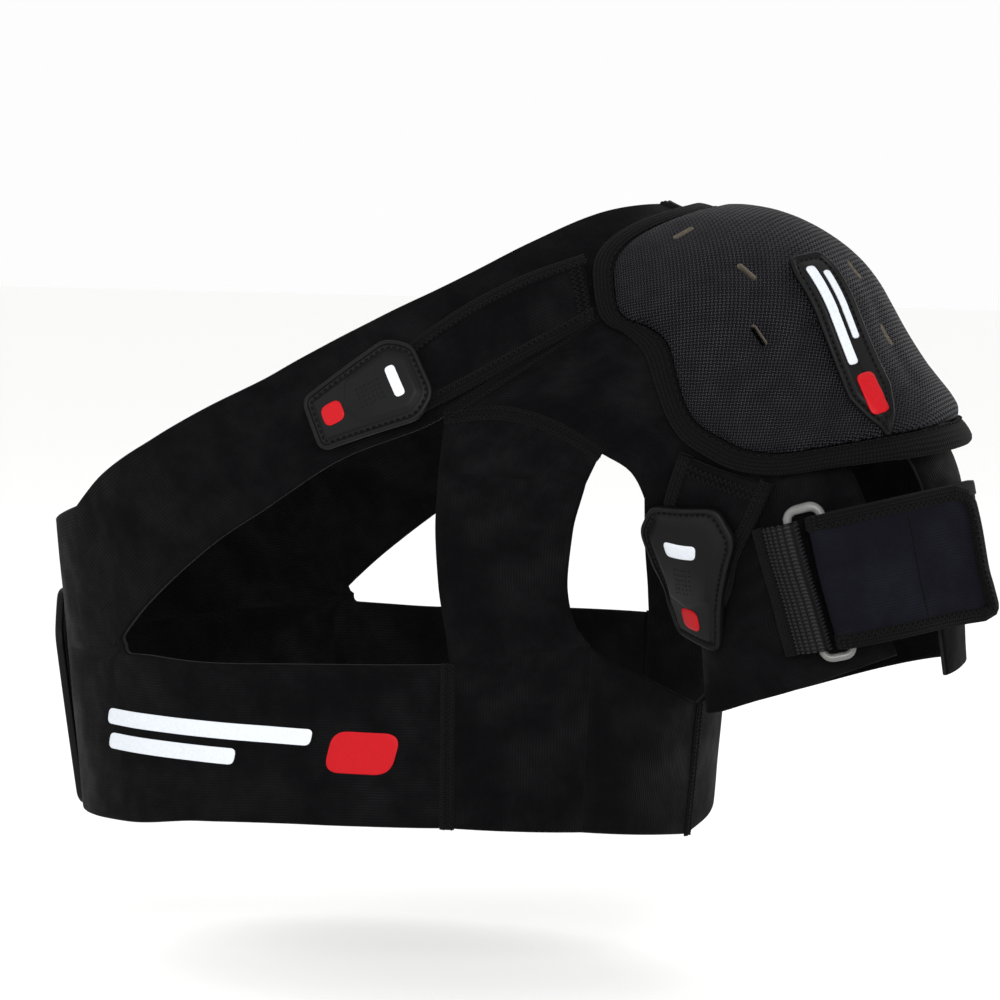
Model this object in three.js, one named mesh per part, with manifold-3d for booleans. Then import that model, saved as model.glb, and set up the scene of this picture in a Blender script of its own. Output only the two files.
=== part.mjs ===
// A shoulder brace for the wearer's left side, as it sits on the body: a neoprene harness that loops
// from the left shoulder to the right underarm, two side panels, a half sleeve with a strap and loop,
// and a padded cap that four straps with rubber tabs hold over the shoulder.
// Millimetres, +Z up, -Y to the wearer's front, +X to the wearer's left.
// The origin is the top of the shoulder, on the inner face of the neoprene.
import * as THREE from 'three';
import { mergeVertices } from 'three/addons/utils/BufferGeometryUtils.js';
import Module from 'manifold-3d';

// Driving dimensions of the wearer, for the form that the brace lies on.
const CHEST_BREADTH = 324;
const CHEST_DEPTH = 240;
const CHEST_TAPER = 0.09;
const CHEST_SQUARENESS = 2.35;
const CHEST_CENTRE = -4;
const CHEST_BACK = 4;
const RIB_BEND_DROP = 150;
const RIB_TOP = 10;
const RIB_ROUNDNESS = 2.4;
const NECK_OUT = 50;
const NECK_DROP = 20;
const NECK_RADIUS = 50;
const YOKE_RADIUS = 52;
const ARM_OUT = 178;
const ARM_DROP = 68;
const ARM_BACK = 6;
const ARM_BEND_SPREAD = 36;
const ARM_BEND_DROP = 60;
const ARM_BEND_SWING = 3;
const ARM_END_SPREAD = 44;
const ARM_END_DROP = 222;
const ARM_END_SWING = 10;
const ARM_TOP_RADIUS = 52;
const ARM_BEND_RADIUS = 57;
const ARM_END_RADIUS = 56;
const YOKE_BLEND = 50;
const ARM_BLEND = 40;
const ARM_BEND_BLEND = 8;

// Driving dimensions of the brace.
const BAND_DROP = 283;
const HOOP_OUT = 84;
const HOOP_DROP = 78;
const HOOP_RUN_OUT = 127;
const HOOP_RUN_DOWN = 132;
const HOOP_TILT_TOP = 39;
const HOOP_TILT_HEM = 25;
const NEOPRENE = 3;
const STRAP_NEOPRENE = 3;
const SEAM_GAP = 0.8;
const LAYER_GAP = 0.8;
const CAP_RIM_WIDTH = 9;
const CAP_RIM_THICKNESS = 4;
const CAP_THICKNESS = 10;
const CAP_FLARE = 7;
const SLOT_LENGTH = 11;
const SLOT_WIDTH = 3;
const PATCH_LENGTH = 90;
const PATCH_WIDTH = 20;
const PATCH_THICKNESS = 2.2;
const PATCH_GAP = 1.2;
const TAB_LENGTH = 62;
const TAB_WIDTH = 44;
const TAB_THICKNESS = 4.6;
const TAB_BEVEL = 3.2;
const SIDE_TAB_HEIGHT = 106;
const SIDE_TAB_WIDTH = 60;
const SIDE_TAB_THICKNESS = 5;
const BELT_END_THICKNESS = 2.2;
const BELT_END_MARGIN = 4;
const WEBBING = 2.2;
const WEBBING_WIDTH = 58;
const ARM_STRAP = 4.2;
const ARM_STRAP_WIDTH = 57;
const ARM_STRAP_TILT = 14;
const ARM_STRAP_SHARE = 0.19;
const LOOP_LENGTH = 69;
const LOOP_WIDTH = 17.5;
const LOOP_BAR_RADIUS = 1.8;
const LOOP_CORNER = 5;

const rad = THREE.MathUtils.degToRad;
const smooth = THREE.MathUtils.smoothstep;
const mix = THREE.MathUtils.lerp;
const at = (x, y, z) => new THREE.Vector3(x, y, z);

// The wearer's form, as a signed distance that is nearly true close to the skin.
const smoothUnion = (a, b, blend) => {
  const near = Math.max(blend - Math.abs(a - b), 0) / blend;
  return Math.min(a, b) - (near * near * blend) / 4;
};

function limb(start, end, startRadius, endRadius) {
  const run = end.clone().sub(start);
  const reach = run.lengthSq();
  return (p) => {
    const from = p.clone().sub(start);
    const share = THREE.MathUtils.clamp(from.dot(run) / reach, 0, 1);
    return from.addScaledVector(run, -share).length() - mix(startRadius, endRadius, share);
  };
}

function ribCage(p) {
  const below = (p.z + RIB_BEND_DROP) / RIB_BEND_DROP;
  const halfBreadth = (CHEST_BREADTH / 2) * (1 + CHEST_TAPER * below);
  const halfDepth = (CHEST_DEPTH / 2) * (1 + (CHEST_TAPER / 2) * below);
  const across = Math.abs((p.x - CHEST_CENTRE) / halfBreadth) ** CHEST_SQUARENESS;
  const through = Math.abs((p.y - CHEST_BACK) / halfDepth) ** CHEST_SQUARENESS;
  const section = (across + through) ** (1 / CHEST_SQUARENESS);
  const rise = Math.max(p.z + RIB_BEND_DROP, 0) / (RIB_BEND_DROP + RIB_TOP);
  const size = (section ** RIB_ROUNDNESS + rise ** RIB_ROUNDNESS) ** (1 / RIB_ROUNDNESS);
  return ((size - 1) * CHEST_DEPTH) / 2;
}

const YOKE_END = ARM_OUT - 16;
const yoke = limb(
  at(NECK_OUT, 14, -NECK_DROP),
  at(YOKE_END, ARM_BACK, -ARM_DROP),
  NECK_RADIUS,
  YOKE_RADIUS,
);
const armTop = at(ARM_OUT, ARM_BACK, -ARM_DROP);
const armBend = at(ARM_OUT + ARM_BEND_SPREAD, ARM_BACK + ARM_BEND_SWING, -ARM_DROP - ARM_BEND_DROP);
const armEnd = at(ARM_OUT + ARM_END_SPREAD, ARM_BACK + ARM_END_SWING, -ARM_DROP - ARM_END_DROP);
const deltoid = limb(armTop, armBend, ARM_TOP_RADIUS, ARM_BEND_RADIUS);
const upperArm = limb(armBend, armEnd, ARM_BEND_RADIUS, ARM_END_RADIUS);
const armForm = (p) => smoothUnion(deltoid(p), upperArm(p), ARM_BEND_BLEND);
const torsoForm = (p) => smoothUnion(ribCage(p), yoke(p), YOKE_BLEND);
const bodyForm = (p) => smoothUnion(torsoForm(p), armForm(p), ARM_BLEND);

// Below the armpit the torso and the arm are apart, so each has its own form there.
const ARMPIT_DROP = 190;
const chestForm = (p) => {
  const apart = smooth(-p.z, ARMPIT_DROP - 15, ARMPIT_DROP + 15);
  return mix(bodyForm(p), torsoForm(p), apart);
};
const hoopCentre = (station) =>
  at(HOOP_OUT + HOOP_RUN_OUT * station, ARM_BACK * (1 + station), -HOOP_DROP - HOOP_RUN_DOWN * station);
const hoopTilt = (station) => rad(mix(HOOP_TILT_TOP, HOOP_TILT_HEM, station));
const ARM_START = 0.5;
const ARM_ALONE = 0.8;
const armForks = (ARM_START + ARM_ALONE) / 2;
const forkAxis = at(Math.sin(hoopTilt(armForks)), 0, -Math.cos(hoopTilt(armForks)));
const forkRun = at(HOOP_RUN_OUT, 0, -HOOP_RUN_DOWN).dot(forkAxis);
const sleeveForm = (p) => {
  const station = armForks + p.clone().sub(hoopCentre(armForks)).dot(forkAxis) / forkRun;
  return mix(bodyForm(p), armForm(p), smooth(station, ARM_START, ARM_ALONE));
};

// The outermost point of a form on a line that runs out from an inner point, and the normal there.
const FAR = 420;
const TRACE_STEPS = 90;
const TRACE_CARE = 0.8;
function skinAlong(form, from, direction) {
  const ray = direction.clone().normalize();
  let reach = FAR;
  for (let step = 0; step < TRACE_STEPS; step += 1) {
    reach -= TRACE_CARE * form(from.clone().addScaledVector(ray, reach));
  }
  const point = from.clone().addScaledVector(ray, reach);
  return { point, normal: normalOf(form, point) };
}

const PROBE = 0.5;
function normalOf(form, p) {
  const beside = (axis, reach) => form(p.clone().addScaledVector(axis, reach));
  const slope = (axis) => beside(axis, PROBE) - beside(axis, -PROBE);
  return at(slope(at(1, 0, 0)), slope(at(0, 1, 0)), slope(at(0, 0, 1))).normalize();
}

// A place on the chest: turn in degrees from the front towards the wearer's left, and how far below
// the shoulder it lies.
function onChest(turn, drop) {
  const out = at(Math.sin(rad(turn)), -Math.cos(rad(turn)), 0);
  return skinAlong(chestForm, at(CHEST_CENTRE, CHEST_BACK, -drop), out);
}

// A place on a slanted hoop round the shoulder and arm: station 0 lies along the outer edge of the
// shoulder strap and station 1 at the sleeve's hem. Angle 0 is the outer side and 90 the front.
const HOOP_LENGTH = Math.hypot(HOOP_RUN_OUT, HOOP_RUN_DOWN);
function onHoop(station, angle) {
  const tilt = hoopTilt(station);
  const outward = Math.cos(rad(angle));
  const ray = at(outward * Math.cos(tilt), -Math.sin(rad(angle)), outward * Math.sin(tilt));
  return skinAlong(sleeveForm, hoopCentre(station), ray);
}

// A place on a ring round the arm, slanted like the arm strap: along in millimetres down from the
// strap's middle, and the same angles.
const strapCentre = armBend.clone().lerp(armEnd, ARM_STRAP_SHARE);
const strapRun = at(Math.sin(rad(ARM_STRAP_TILT)), 0, -Math.cos(rad(ARM_STRAP_TILT)));
const strapOutward = at(-strapRun.z, 0, strapRun.x);
function onArm(along, angle) {
  const ray = strapOutward.clone().multiplyScalar(Math.cos(rad(angle)));
  ray.y -= Math.sin(rad(angle));
  return skinAlong(sleeveForm, strapCentre.clone().addScaledVector(strapRun, along), ray);
}

// Values of a table of rows, read smoothly at any place of its first column and never past its rows.
function reader(rows, key) {
  const columns = Object.keys(rows[0]);
  const secant = (i, name) => (rows[i + 1][name] - rows[i][name]) / (rows[i + 1][key] - rows[i][key]);
  const slopeAt = (i, name) => {
    const before = secant(Math.max(i - 1, 0), name);
    const after = secant(Math.min(i, rows.length - 2), name);
    return before * after > 0 ? (2 * before * after) / (before + after) : 0;
  };
  return (place) => {
    const last = rows.length - 2;
    const found = rows.findIndex((row, i) => i <= last && place <= rows[i + 1][key]);
    const i = found < 0 ? last : found;
    const span = rows[i + 1][key] - rows[i][key];
    const share = THREE.MathUtils.clamp((place - rows[i][key]) / span, 0, 1);
    const s2 = share * share;
    const s3 = s2 * share;
    const read = {};
    for (const name of columns) {
      read[name] =
        (2 * s3 - 3 * s2 + 1) * rows[i][name] + (s3 - 2 * s2 + share) * span * slopeAt(i, name) +
        (3 * s2 - 2 * s3) * rows[i + 1][name] + (s3 - s2) * span * slopeAt(i + 1, name);
    }
    return read;
  };
}

const steps = (count, from = 0, to = 1) =>
  Array.from({ length: count + 1 }, (_, i) => mix(from, to, i / count));

// Lines between two lines of surface points, each point drawn back to the form.
function settle(form, guide) {
  const p = guide.clone();
  for (let step = 0; step < 12; step += 1) {
    const value = form(p);
    p.addScaledVector(normalOf(form, p), -value * TRACE_CARE);
  }
  return { point: p, normal: normalOf(form, p) };
}

function linesBetween(first, last, count) {
  return steps(count).map((share) => {
    if (share === 0) return first;
    if (share === 1) return last;
    return first.map((spot, i) => {
      const guide = spot.point.clone().lerp(last[i].point, share);
      return settle(chestForm, guide);
    });
  });
}

// Small named pieces of mesh code, shared by every solid.
function meshOf(vertices, triangles) {
  const geometry = new THREE.BufferGeometry();
  const places = vertices.flatMap((v) => v.toArray());
  geometry.setAttribute('position', new THREE.Float32BufferAttribute(places, 3));
  geometry.setIndex(triangles.flat());
  return geometry;
}

// A sheet of even thickness made of welded grids of spots. Each spot has a point and a normal, and
// may have its own lift. The outline is cut back by half a seam gap.
function sheet(grids, { lift = 0, thickness = NEOPRENE } = {}) {
  const spots = [];
  const known = new Map();
  const idOf = (spot) => {
    const key = spot.point.toArray().map((v) => Math.round(v * 50)).join();
    if (!known.has(key)) {
      known.set(key, spots.length);
      spots.push({ ...spot, inward: at(0, 0, 0) });
    }
    return known.get(key);
  };
  const faces = [];
  for (const grid of grids) {
    for (let i = 0; i + 1 < grid.length; i += 1) {
      for (let j = 0; j + 1 < grid[i].length; j += 1) {
        const corners = [grid[i][j], grid[i][j + 1], grid[i + 1][j + 1], grid[i + 1][j]].map(idOf);
        const face = corners.filter((id, k) => id !== corners[(k + 1) % 4]);
        if (face.length > 2) faces.push(face);
      }
    }
  }
  turnOutward(faces, spots);
  const border = borderOf(faces);
  for (const [a, b] of border) {
    const along = spots[b].point.clone().sub(spots[a].point).normalize();
    const inward = spots[a].normal.clone().cross(along);
    spots[a].inward.addScaledVector(inward, 0.5);
    spots[b].inward.addScaledVector(inward, 0.5);
  }
  const place = (spot, height) => {
    const cutBack = SEAM_GAP / 2 / Math.max(spot.inward.lengthSq(), 0.3);
    return spot.point.clone().addScaledVector(spot.normal, height).addScaledVector(spot.inward, cutBack);
  };
  const rise = (spot) => spot.lift ?? lift;
  const inner = spots.map((spot) => place(spot, rise(spot)));
  const outer = spots.map((spot) => place(spot, rise(spot) + (spot.thickness ?? thickness)));
  return meshOf([...inner, ...outer], shellOf(faces, spots.length));
}

// The triangles of two like layers of points and the walls along their border.
function shellOf(faces, count) {
  const triangles = [];
  for (const face of faces) {
    for (let k = 1; k + 1 < face.length; k += 1) {
      const [a, b, c] = [face[0], face[k], face[k + 1]];
      triangles.push([a + count, b + count, c + count], [c, b, a]);
    }
  }
  for (const [a, b] of borderOf(faces)) triangles.push([a, b, b + count], [a, b + count, a + count]);
  return triangles;
}

function turnOutward(faces, spots) {
  const face = faces[Math.floor(faces.length / 2)];
  const [a, b, c] = face.map((id) => spots[id].point);
  const facing = b.clone().sub(a).cross(c.clone().sub(a));
  if (facing.dot(spots[face[0]].normal) < 0) faces.forEach((f) => f.reverse());
}

function borderOf(faces) {
  const edges = new Map();
  for (const face of faces) {
    face.forEach((a, k) => {
      const b = face[(k + 1) % face.length];
      edges.set(`${a},${b}`, [a, b]);
    });
  }
  return [...edges.values()].filter(([a, b]) => !edges.has(`${b},${a}`));
}

// A solid of nested rings round a middle: each ring is the outline drawn in and set at a height.
// The rings run from the middle of the under side, round the edge, to the middle of the top.
function puck(outline, rings, middle, place) {
  const vertices = [place(middle.x, middle.y, rings[0].height, 0)];
  const n = outline.length;
  for (const { inset = 0, share = 1, height } of rings.slice(1, -1)) {
    for (const spot of outline) {
      const reach = Math.max(spot.distanceTo(middle) - inset, 0) * share;
      const v = spot.clone().sub(middle).setLength(reach).add(middle);
      vertices.push(place(v.x, v.y, height, share));
    }
  }
  vertices.push(place(middle.x, middle.y, rings.at(-1).height, 0));
  const last = vertices.length - 1;
  const triangles = [];
  for (let k = 0; k < n; k += 1) {
    const next = (k + 1) % n;
    triangles.push([0, 1 + next, 1 + k]);
    for (let r = 0; r < rings.length - 3; r += 1) {
      const low = 1 + r * n;
      const high = low + n;
      triangles.push([low + k, low + next, high + next], [low + k, high + next, high + k]);
    }
    triangles.push([last - n + k, last - n + next, last]);
  }
  return meshOf(vertices, triangles);
}

// A closed outline with round corners, going anticlockwise.
function roundedOutline(corners, radius, perCorner) {
  const spots = [];
  corners.forEach((corner, i) => {
    const before = corners.at(i - 1);
    const after = corners[(i + 1) % corners.length];
    const back = before.clone().sub(corner);
    const on = after.clone().sub(corner);
    const cut = Math.min(radius, back.length() / 2.2, on.length() / 2.2);
    const from = corner.clone().add(back.setLength(cut));
    const to = corner.clone().add(on.setLength(cut));
    const bend = new THREE.QuadraticBezierCurve(from, corner, to);
    spots.push(...bend.getPoints(perCorner));
  });
  return spots;
}

// Even points along a closed outline.
const evenly = (corners, count) =>
  new THREE.SplineCurve([...corners, corners[0]]).getSpacedPoints(count).slice(0, count);

// A flat pattern laid on a skin round a spot: x runs towards a nearby place, y across it. The skin has
// places of two measures, and small nudges of each give the pattern its scale.
function laidOn(placeAt, centre, towards, nudge) {
  const spot = placeAt(...centre);
  const [first, second] = [0, 1].map((k) => {
    const near = centre.map((value, i) => (i === k ? value + nudge[k] : value));
    return placeAt(...near).point.sub(spot.point).divideScalar(nudge[k]);
  });
  const along = first.clone().multiplyScalar(towards[0]).addScaledVector(second, towards[1]);
  along.projectOnPlane(spot.normal).normalize();
  const across = spot.normal.clone().cross(along);
  const [a, b, c] = [first.dot(first), first.dot(second), second.dot(second)];
  const whole = a * c - b * b;
  const measuresOf = (x, y) => {
    const wanted = along.clone().multiplyScalar(x).addScaledVector(across, y);
    const [p, q] = [first.dot(wanted), second.dot(wanted)];
    return [centre[0] + (c * p - b * q) / whole, centre[1] + (a * q - b * p) / whole];
  };
  const place = (x, y, height) => {
    const found = placeAt(...measuresOf(x, y));
    return found.point.addScaledVector(found.normal, height);
  };
  return { place, measuresOf };
}

// Joining and cutting closed meshes.
const wasm = await Module();
wasm.setup();

function solidOf(geometry) {
  const bare = mergeVertices(geometry);
  return new wasm.Manifold(
    new wasm.Mesh({
      numProp: 3,
      vertProperties: new Float32Array(bare.getAttribute('position').array),
      triVerts: new Uint32Array(bare.getIndex().array),
    }),
  );
}

function geometryOf(solid) {
  const { vertProperties, triVerts } = solid.getMesh();
  const geometry = new THREE.BufferGeometry();
  geometry.setAttribute('position', new THREE.BufferAttribute(vertProperties, 3));
  geometry.setIndex(new THREE.BufferAttribute(triVerts, 1));
  return geometry;
}

// The shoulder strap's two edges as hoop stations, from the top of the shoulder to the window's corner.
const STRAP_EDGES = [
  { angle: 0, upper: -0.17, lower: 0 },
  { angle: 22, upper: -0.215, lower: 0 },
  { angle: 45, upper: -0.24, lower: 0 },
  { angle: 72, upper: -0.268, lower: 0 },
  { angle: 95, upper: -0.315, lower: 0 },
  { angle: 117, upper: -0.388, lower: -0.083 },
  { angle: 128, upper: -0.455, lower: -0.11 },
  { angle: 138, upper: -0.53, lower: -0.148 },
  { angle: 148, upper: -0.608, lower: -0.165 },
  { angle: 154, upper: -0.635, lower: -0.15 },
];
// The chest band's edges, as shares of the band's drop, round the front from the window to the side seam.
const BAND_EDGES = [
  { turn: -90, upper: 0.545, middle: 0.72, lower: 0.995 },
  { turn: -41, upper: 0.52, middle: 0.695, lower: 0.985 },
  { turn: -20, upper: 0.4, middle: 0.7, lower: 0.965 },
  { turn: 10, upper: 0.4, middle: 0.69, lower: 0.953 },
  { turn: 38, upper: 0.4, middle: 0.682, lower: 0.948 },
];
// The side panel's two long edges, from the seam at its top to its hem, as turns and shares of the drop.
const PANEL_EDGES = [
  { row: 1, windowTurn: 36, windowDrop: 0.378, holeTurn: 60.5, holeDrop: 0.4 },
  { row: 2, windowTurn: 35.3, windowDrop: 0.466, holeTurn: 58.4, holeDrop: 0.474 },
  { row: 3, windowTurn: 35.9, windowDrop: 0.558, holeTurn: 57.8, holeDrop: 0.55 },
  { row: 4, windowTurn: 37.4, windowDrop: 0.64, holeTurn: 59, holeDrop: 0.614 },
  { row: 5, windowTurn: 38, windowDrop: 0.682, holeTurn: 62, holeDrop: 0.655 },
];
// The top line of the panel's wing under the arm.
const WING_TOP = [
  { turn: 62, drop: 0.655 },
  { turn: 66, drop: 0.682 },
  { turn: 73, drop: 0.712 },
  { turn: 81, drop: 0.745 },
  { turn: 90, drop: 0.775 },
];
// The sleeve's front edge: the seam with the side panel, then the edge of the arm hole to the armpit.
const SLEEVE_EDGE = [
  { station: 0, angle: 95 },
  { station: 0.07, angle: 85 },
  { station: 0.16, angle: 78 },
  { station: 0.27, angle: 73 },
  { station: 0.34, angle: 69.5 },
  { station: 0.43, angle: 74 },
  { station: 0.52, angle: 86 },
  { station: 0.6, angle: 104 },
  { station: 0.68, angle: 127 },
  { station: 0.75, angle: 153 },
  { station: 0.8, angle: 180 },
];
const SEAM_END_STATION = 0.27;
const ARMPIT_STATION = 0.8;
const SLIT_TOP_STATION = 0.56;
const SLIT_EDGES = [
  { station: 0.56, front: 24.5, rear: 12.5 },
  { station: 0.8, front: 28.6, rear: 12 },
  { station: 1.02, front: 33.5, rear: 12 },
];
// The hem of the sleeve; its rear flap hangs a little lower than its front.
const HEM = [
  { angle: -180, station: 0.93 },
  { angle: -136, station: 0.965 },
  { angle: -90, station: 1.0 },
  { angle: -40, station: 1.05 },
  { angle: 12, station: 1.09 },
  { angle: 33, station: 1.007 },
  { angle: 54, station: 1.002 },
  { angle: 75, station: 0.995 },
  { angle: 100, station: 0.979 },
  { angle: 136, station: 0.962 },
  { angle: 180, station: 0.93 },
];
// The cap's outline over its front half, as hoop stations and angles from the cap's own middle line.
const CAP_TURN = 4;
const CAP_OUTLINE = [
  { station: -0.112, angle: 0 },
  { station: -0.118, angle: 8 },
  { station: -0.128, angle: 18 },
  { station: -0.123, angle: 27.5 },
  { station: -0.092, angle: 35 },
  { station: -0.011, angle: 42 },
  { station: 0.037, angle: 43.2 },
  { station: 0.081, angle: 41.3 },
  { station: 0.145, angle: 41 },
  { station: 0.223, angle: 44 },
  { station: 0.29, angle: 46 },
  { station: 0.345, angle: 46 },
  { station: 0.402, angle: 43.6 },
  { station: 0.464, angle: 40 },
  { station: 0.529, angle: 33.6 },
  { station: 0.586, angle: 23.6 },
  { station: 0.615, angle: 16 },
  { station: 0.632, angle: 8 },
  { station: 0.637, angle: 0 },
];
const CAP_CENTRE_STATION = 0.26;
// The vent slots of the cap: place from the cap's middle line, and whether the long side runs down.
const CAP_SLOTS = [
  { station: -0.008, angle: 16, lengthwise: 0 },
  { station: 0.137, angle: 17, lengthwise: 1 },
  { station: 0.25, angle: 23, lengthwise: 1 },
  { station: 0.212, angle: -3, lengthwise: 1 },
  { station: 0.356, angle: -0.5, lengthwise: 1 },
];
const PATCH_STATION = 0.37;
const PATCH_ANGLE = 10.5;
const PATCH_RUN = 0.42;
const PATCH_TURN = 6.5;
// The cap's straps: the upper one runs down the shoulder strap, the lower one over the front of the arm.
// Each row has the places of both edges.
const UPPER_STRAP = [
  { along: 0, nearStation: -0.126, nearAngle: 38.5, farStation: 0.012, farAngle: 48.8 },
  { along: 0.3, nearStation: -0.168, nearAngle: 59, farStation: -0.003, farAngle: 66 },
  { along: 0.6, nearStation: -0.187, nearAngle: 80, farStation: -0.02, farAngle: 87 },
  { along: 0.85, nearStation: -0.19, nearAngle: 97, farStation: -0.06, farAngle: 104 },
  { along: 1, nearStation: -0.195, nearAngle: 107, farStation: -0.1, farAngle: 111 },
];
const LOWER_STRAP = [
  { along: 0, nearStation: 0.366, nearAngle: 52, farStation: 0.538, farAngle: 39.6 },
  { along: 0.3, nearStation: 0.402, nearAngle: 58.5, farStation: 0.592, farAngle: 47.5 },
  { along: 0.55, nearStation: 0.44, nearAngle: 66, farStation: 0.643, farAngle: 57.5 },
  { along: 0.8, nearStation: 0.52, nearAngle: 77, farStation: 0.705, farAngle: 68 },
  { along: 1, nearStation: 0.61, nearAngle: 87, farStation: 0.74, farAngle: 79 },
];
const UPPER_TAB = { station: -0.142, angle: 102, aheadStation: -0.018, aheadAngle: 6 };
const LOWER_TAB = { station: 0.625, angle: 79, aheadStation: 0.06, aheadAngle: 8 };
const SIDE_TAB_TURN = -84;
const SIDE_TAB_DROP = 0.82;
// The arm strap, its loop and its webbing: angles round the arm.
const LOOP_ANGLE = 71;
const WEBBING_ANGLE = 93;
const STRAP_ANCHOR_ANGLE = -82;
const STRAP_FLAT_ANGLE = 30; // where the free end leaves the arm's curve
const STRAP_END_ANGLE = 7;
const STRAP_END_SLANT = 0.22;
const STRAP_END_RISE = 3;

const LAYER = NEOPRENE + LAYER_GAP;
const OVER_STRAP = LAYER + STRAP_NEOPRENE + LAYER_GAP;
const bandDrop = (share) => share * BAND_DROP;

// Cells along and across the pieces.
const STRAP_CELLS = 7;
const STRAP_ROWS = 4;
const BAND_CELLS = 9;
const BAND_ROWS = 4;
const SIDE_CELLS = 7;
const SEAM_CELLS = 6;
const WING_CELLS = 4;

// Front pieces have a side of 1, and their mirrored twins at the back a side of -1.
const hoopSpot = (side) => (station, angle) => onHoop(station, side * angle);
// The angles where harness and sleeve meet at the top of the shoulder.
const SEAM_START = STRAP_EDGES[0].angle;
const SEAM_END = 95;
const seamAngles = (side) =>
  side > 0
    ? [SEAM_START, SLIT_EDGES[0].rear, ...steps(9, SLIT_EDGES[0].front, SEAM_END)]
    : steps(10, SEAM_START, SEAM_END);
const chestSpot = (side) => {
  return (turn, drop) => (side > 0 ? onChest(turn, drop) : onChest(180 - turn, drop));
};

// The seam between harness and panel, and the two side seams.
const panelSeam = (side) =>
  steps(BAND_ROWS).map((share) => {
    const edge = BAND_EDGES.at(-1);
    return chestSpot(side)(edge.turn, bandDrop(mix(edge.middle, edge.lower, share)));
  });

function harness(side) {
  const hoop = hoopSpot(side);
  const chest = chestSpot(side);
  const edges = reader(STRAP_EDGES, 'angle');
  const strapEnd = STRAP_EDGES.at(-1).angle;
  const strapAngles = [...seamAngles(side), ...steps(STRAP_CELLS, SEAM_END, strapEnd).slice(1)];
  const strap = strapAngles.map((angle) => {
    const { upper, lower } = edges(angle);
    return steps(STRAP_ROWS, upper, lower).map((station) => hoop(station, angle));
  });
  const band = reader(BAND_EDGES, 'turn');
  const corner = strap.at(-1).at(-1);
  const cornerTurn = BAND_EDGES[1].turn;
  const bandLine = (turn) => {
    const { middle, lower } = band(turn);
    return steps(BAND_ROWS, middle, lower).map((share) => chest(turn, bandDrop(share)));
  };
  const bandLines = steps(BAND_CELLS, BAND_EDGES.at(-1).turn, cornerTurn).map(bandLine);
  bandLines[0] = panelSeam(side);
  bandLines.at(-1)[0] = corner;
  const sideSeam = bandLine(BAND_EDGES[0].turn);
  const { upper, middle } = BAND_EDGES[0];
  const sideTurn = BAND_EDGES[0].turn;
  const strapSeam = steps(STRAP_ROWS, upper, middle).map((share) => chest(sideTurn, bandDrop(share)));
  strapSeam[STRAP_ROWS] = sideSeam[0];
  const upperSide = linesBetween(strap.at(-1), strapSeam, SIDE_CELLS);
  const lowerSide = linesBetween(bandLines.at(-1), sideSeam, SIDE_CELLS);
  lowerSide.forEach((line, i) => {
    line[0] = upperSide[i].at(-1);
  });
  const order = (grid) => (side > 0 ? grid : [...grid].reverse());
  return sheet([order(strap), order(bandLines), order(upperSide), order(lowerSide)]);
}

const seamStations = steps(SEAM_CELLS, 0, SEAM_END_STATION);
const sleeveEdge = reader(SLEEVE_EDGE, 'station');

function panel(side) {
  const chest = chestSpot(side);
  const top = seamStations.map((station) => hoopSpot(side)(station, sleeveEdge(station).angle));
  const edges = reader(PANEL_EDGES, 'row');
  const rowBetween = (row) => {
    const { windowTurn, windowDrop, holeTurn, holeDrop } = edges(row);
    return steps(SEAM_CELLS).map((share) =>
      chest(mix(windowTurn, holeTurn, share), bandDrop(mix(windowDrop, holeDrop, share))),
    );
  };
  const first = rowBetween(PANEL_EDGES[0].row);
  const upper = linesBetween(top, first, 2);
  const middle = steps(7, PANEL_EDGES[0].row, PANEL_EDGES.at(-1).row).map(rowBetween);
  const hemEdge = BAND_EDGES.at(-1).lower;
  const cornerEdge = PANEL_EDGES.at(-1);
  const seam = panelSeam(side);
  const lower = steps(BAND_ROWS).map((share, i) => {
    const windowDrop = mix(cornerEdge.windowDrop, hemEdge, share);
    const holeDrop = mix(cornerEdge.holeDrop, hemEdge + 0.012, share);
    return steps(SEAM_CELLS).map((across) => {
      if (across === 0) return seam[i];
      const turn = mix(cornerEdge.windowTurn, cornerEdge.holeTurn, across);
      return chest(turn, bandDrop(mix(windowDrop, holeDrop, across)));
    });
  });
  lower[0] = middle.at(-1);
  lower[0][0] = seam[0];
  const wingTop = reader(WING_TOP, 'turn');
  const wing = steps(BAND_ROWS).map((share, i) =>
    steps(WING_CELLS, WING_TOP[0].turn, WING_TOP.at(-1).turn).map((turn, j) => {
      if (j === 0) return lower[i].at(-1);
      const hem = mix(hemEdge + 0.012, BAND_EDGES[0].lower, j / WING_CELLS);
      return chest(turn, bandDrop(mix(wingTop(turn).drop, hem, share)));
    }),
  );
  return sheet([upper, middle, lower, wing]);
}

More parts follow.
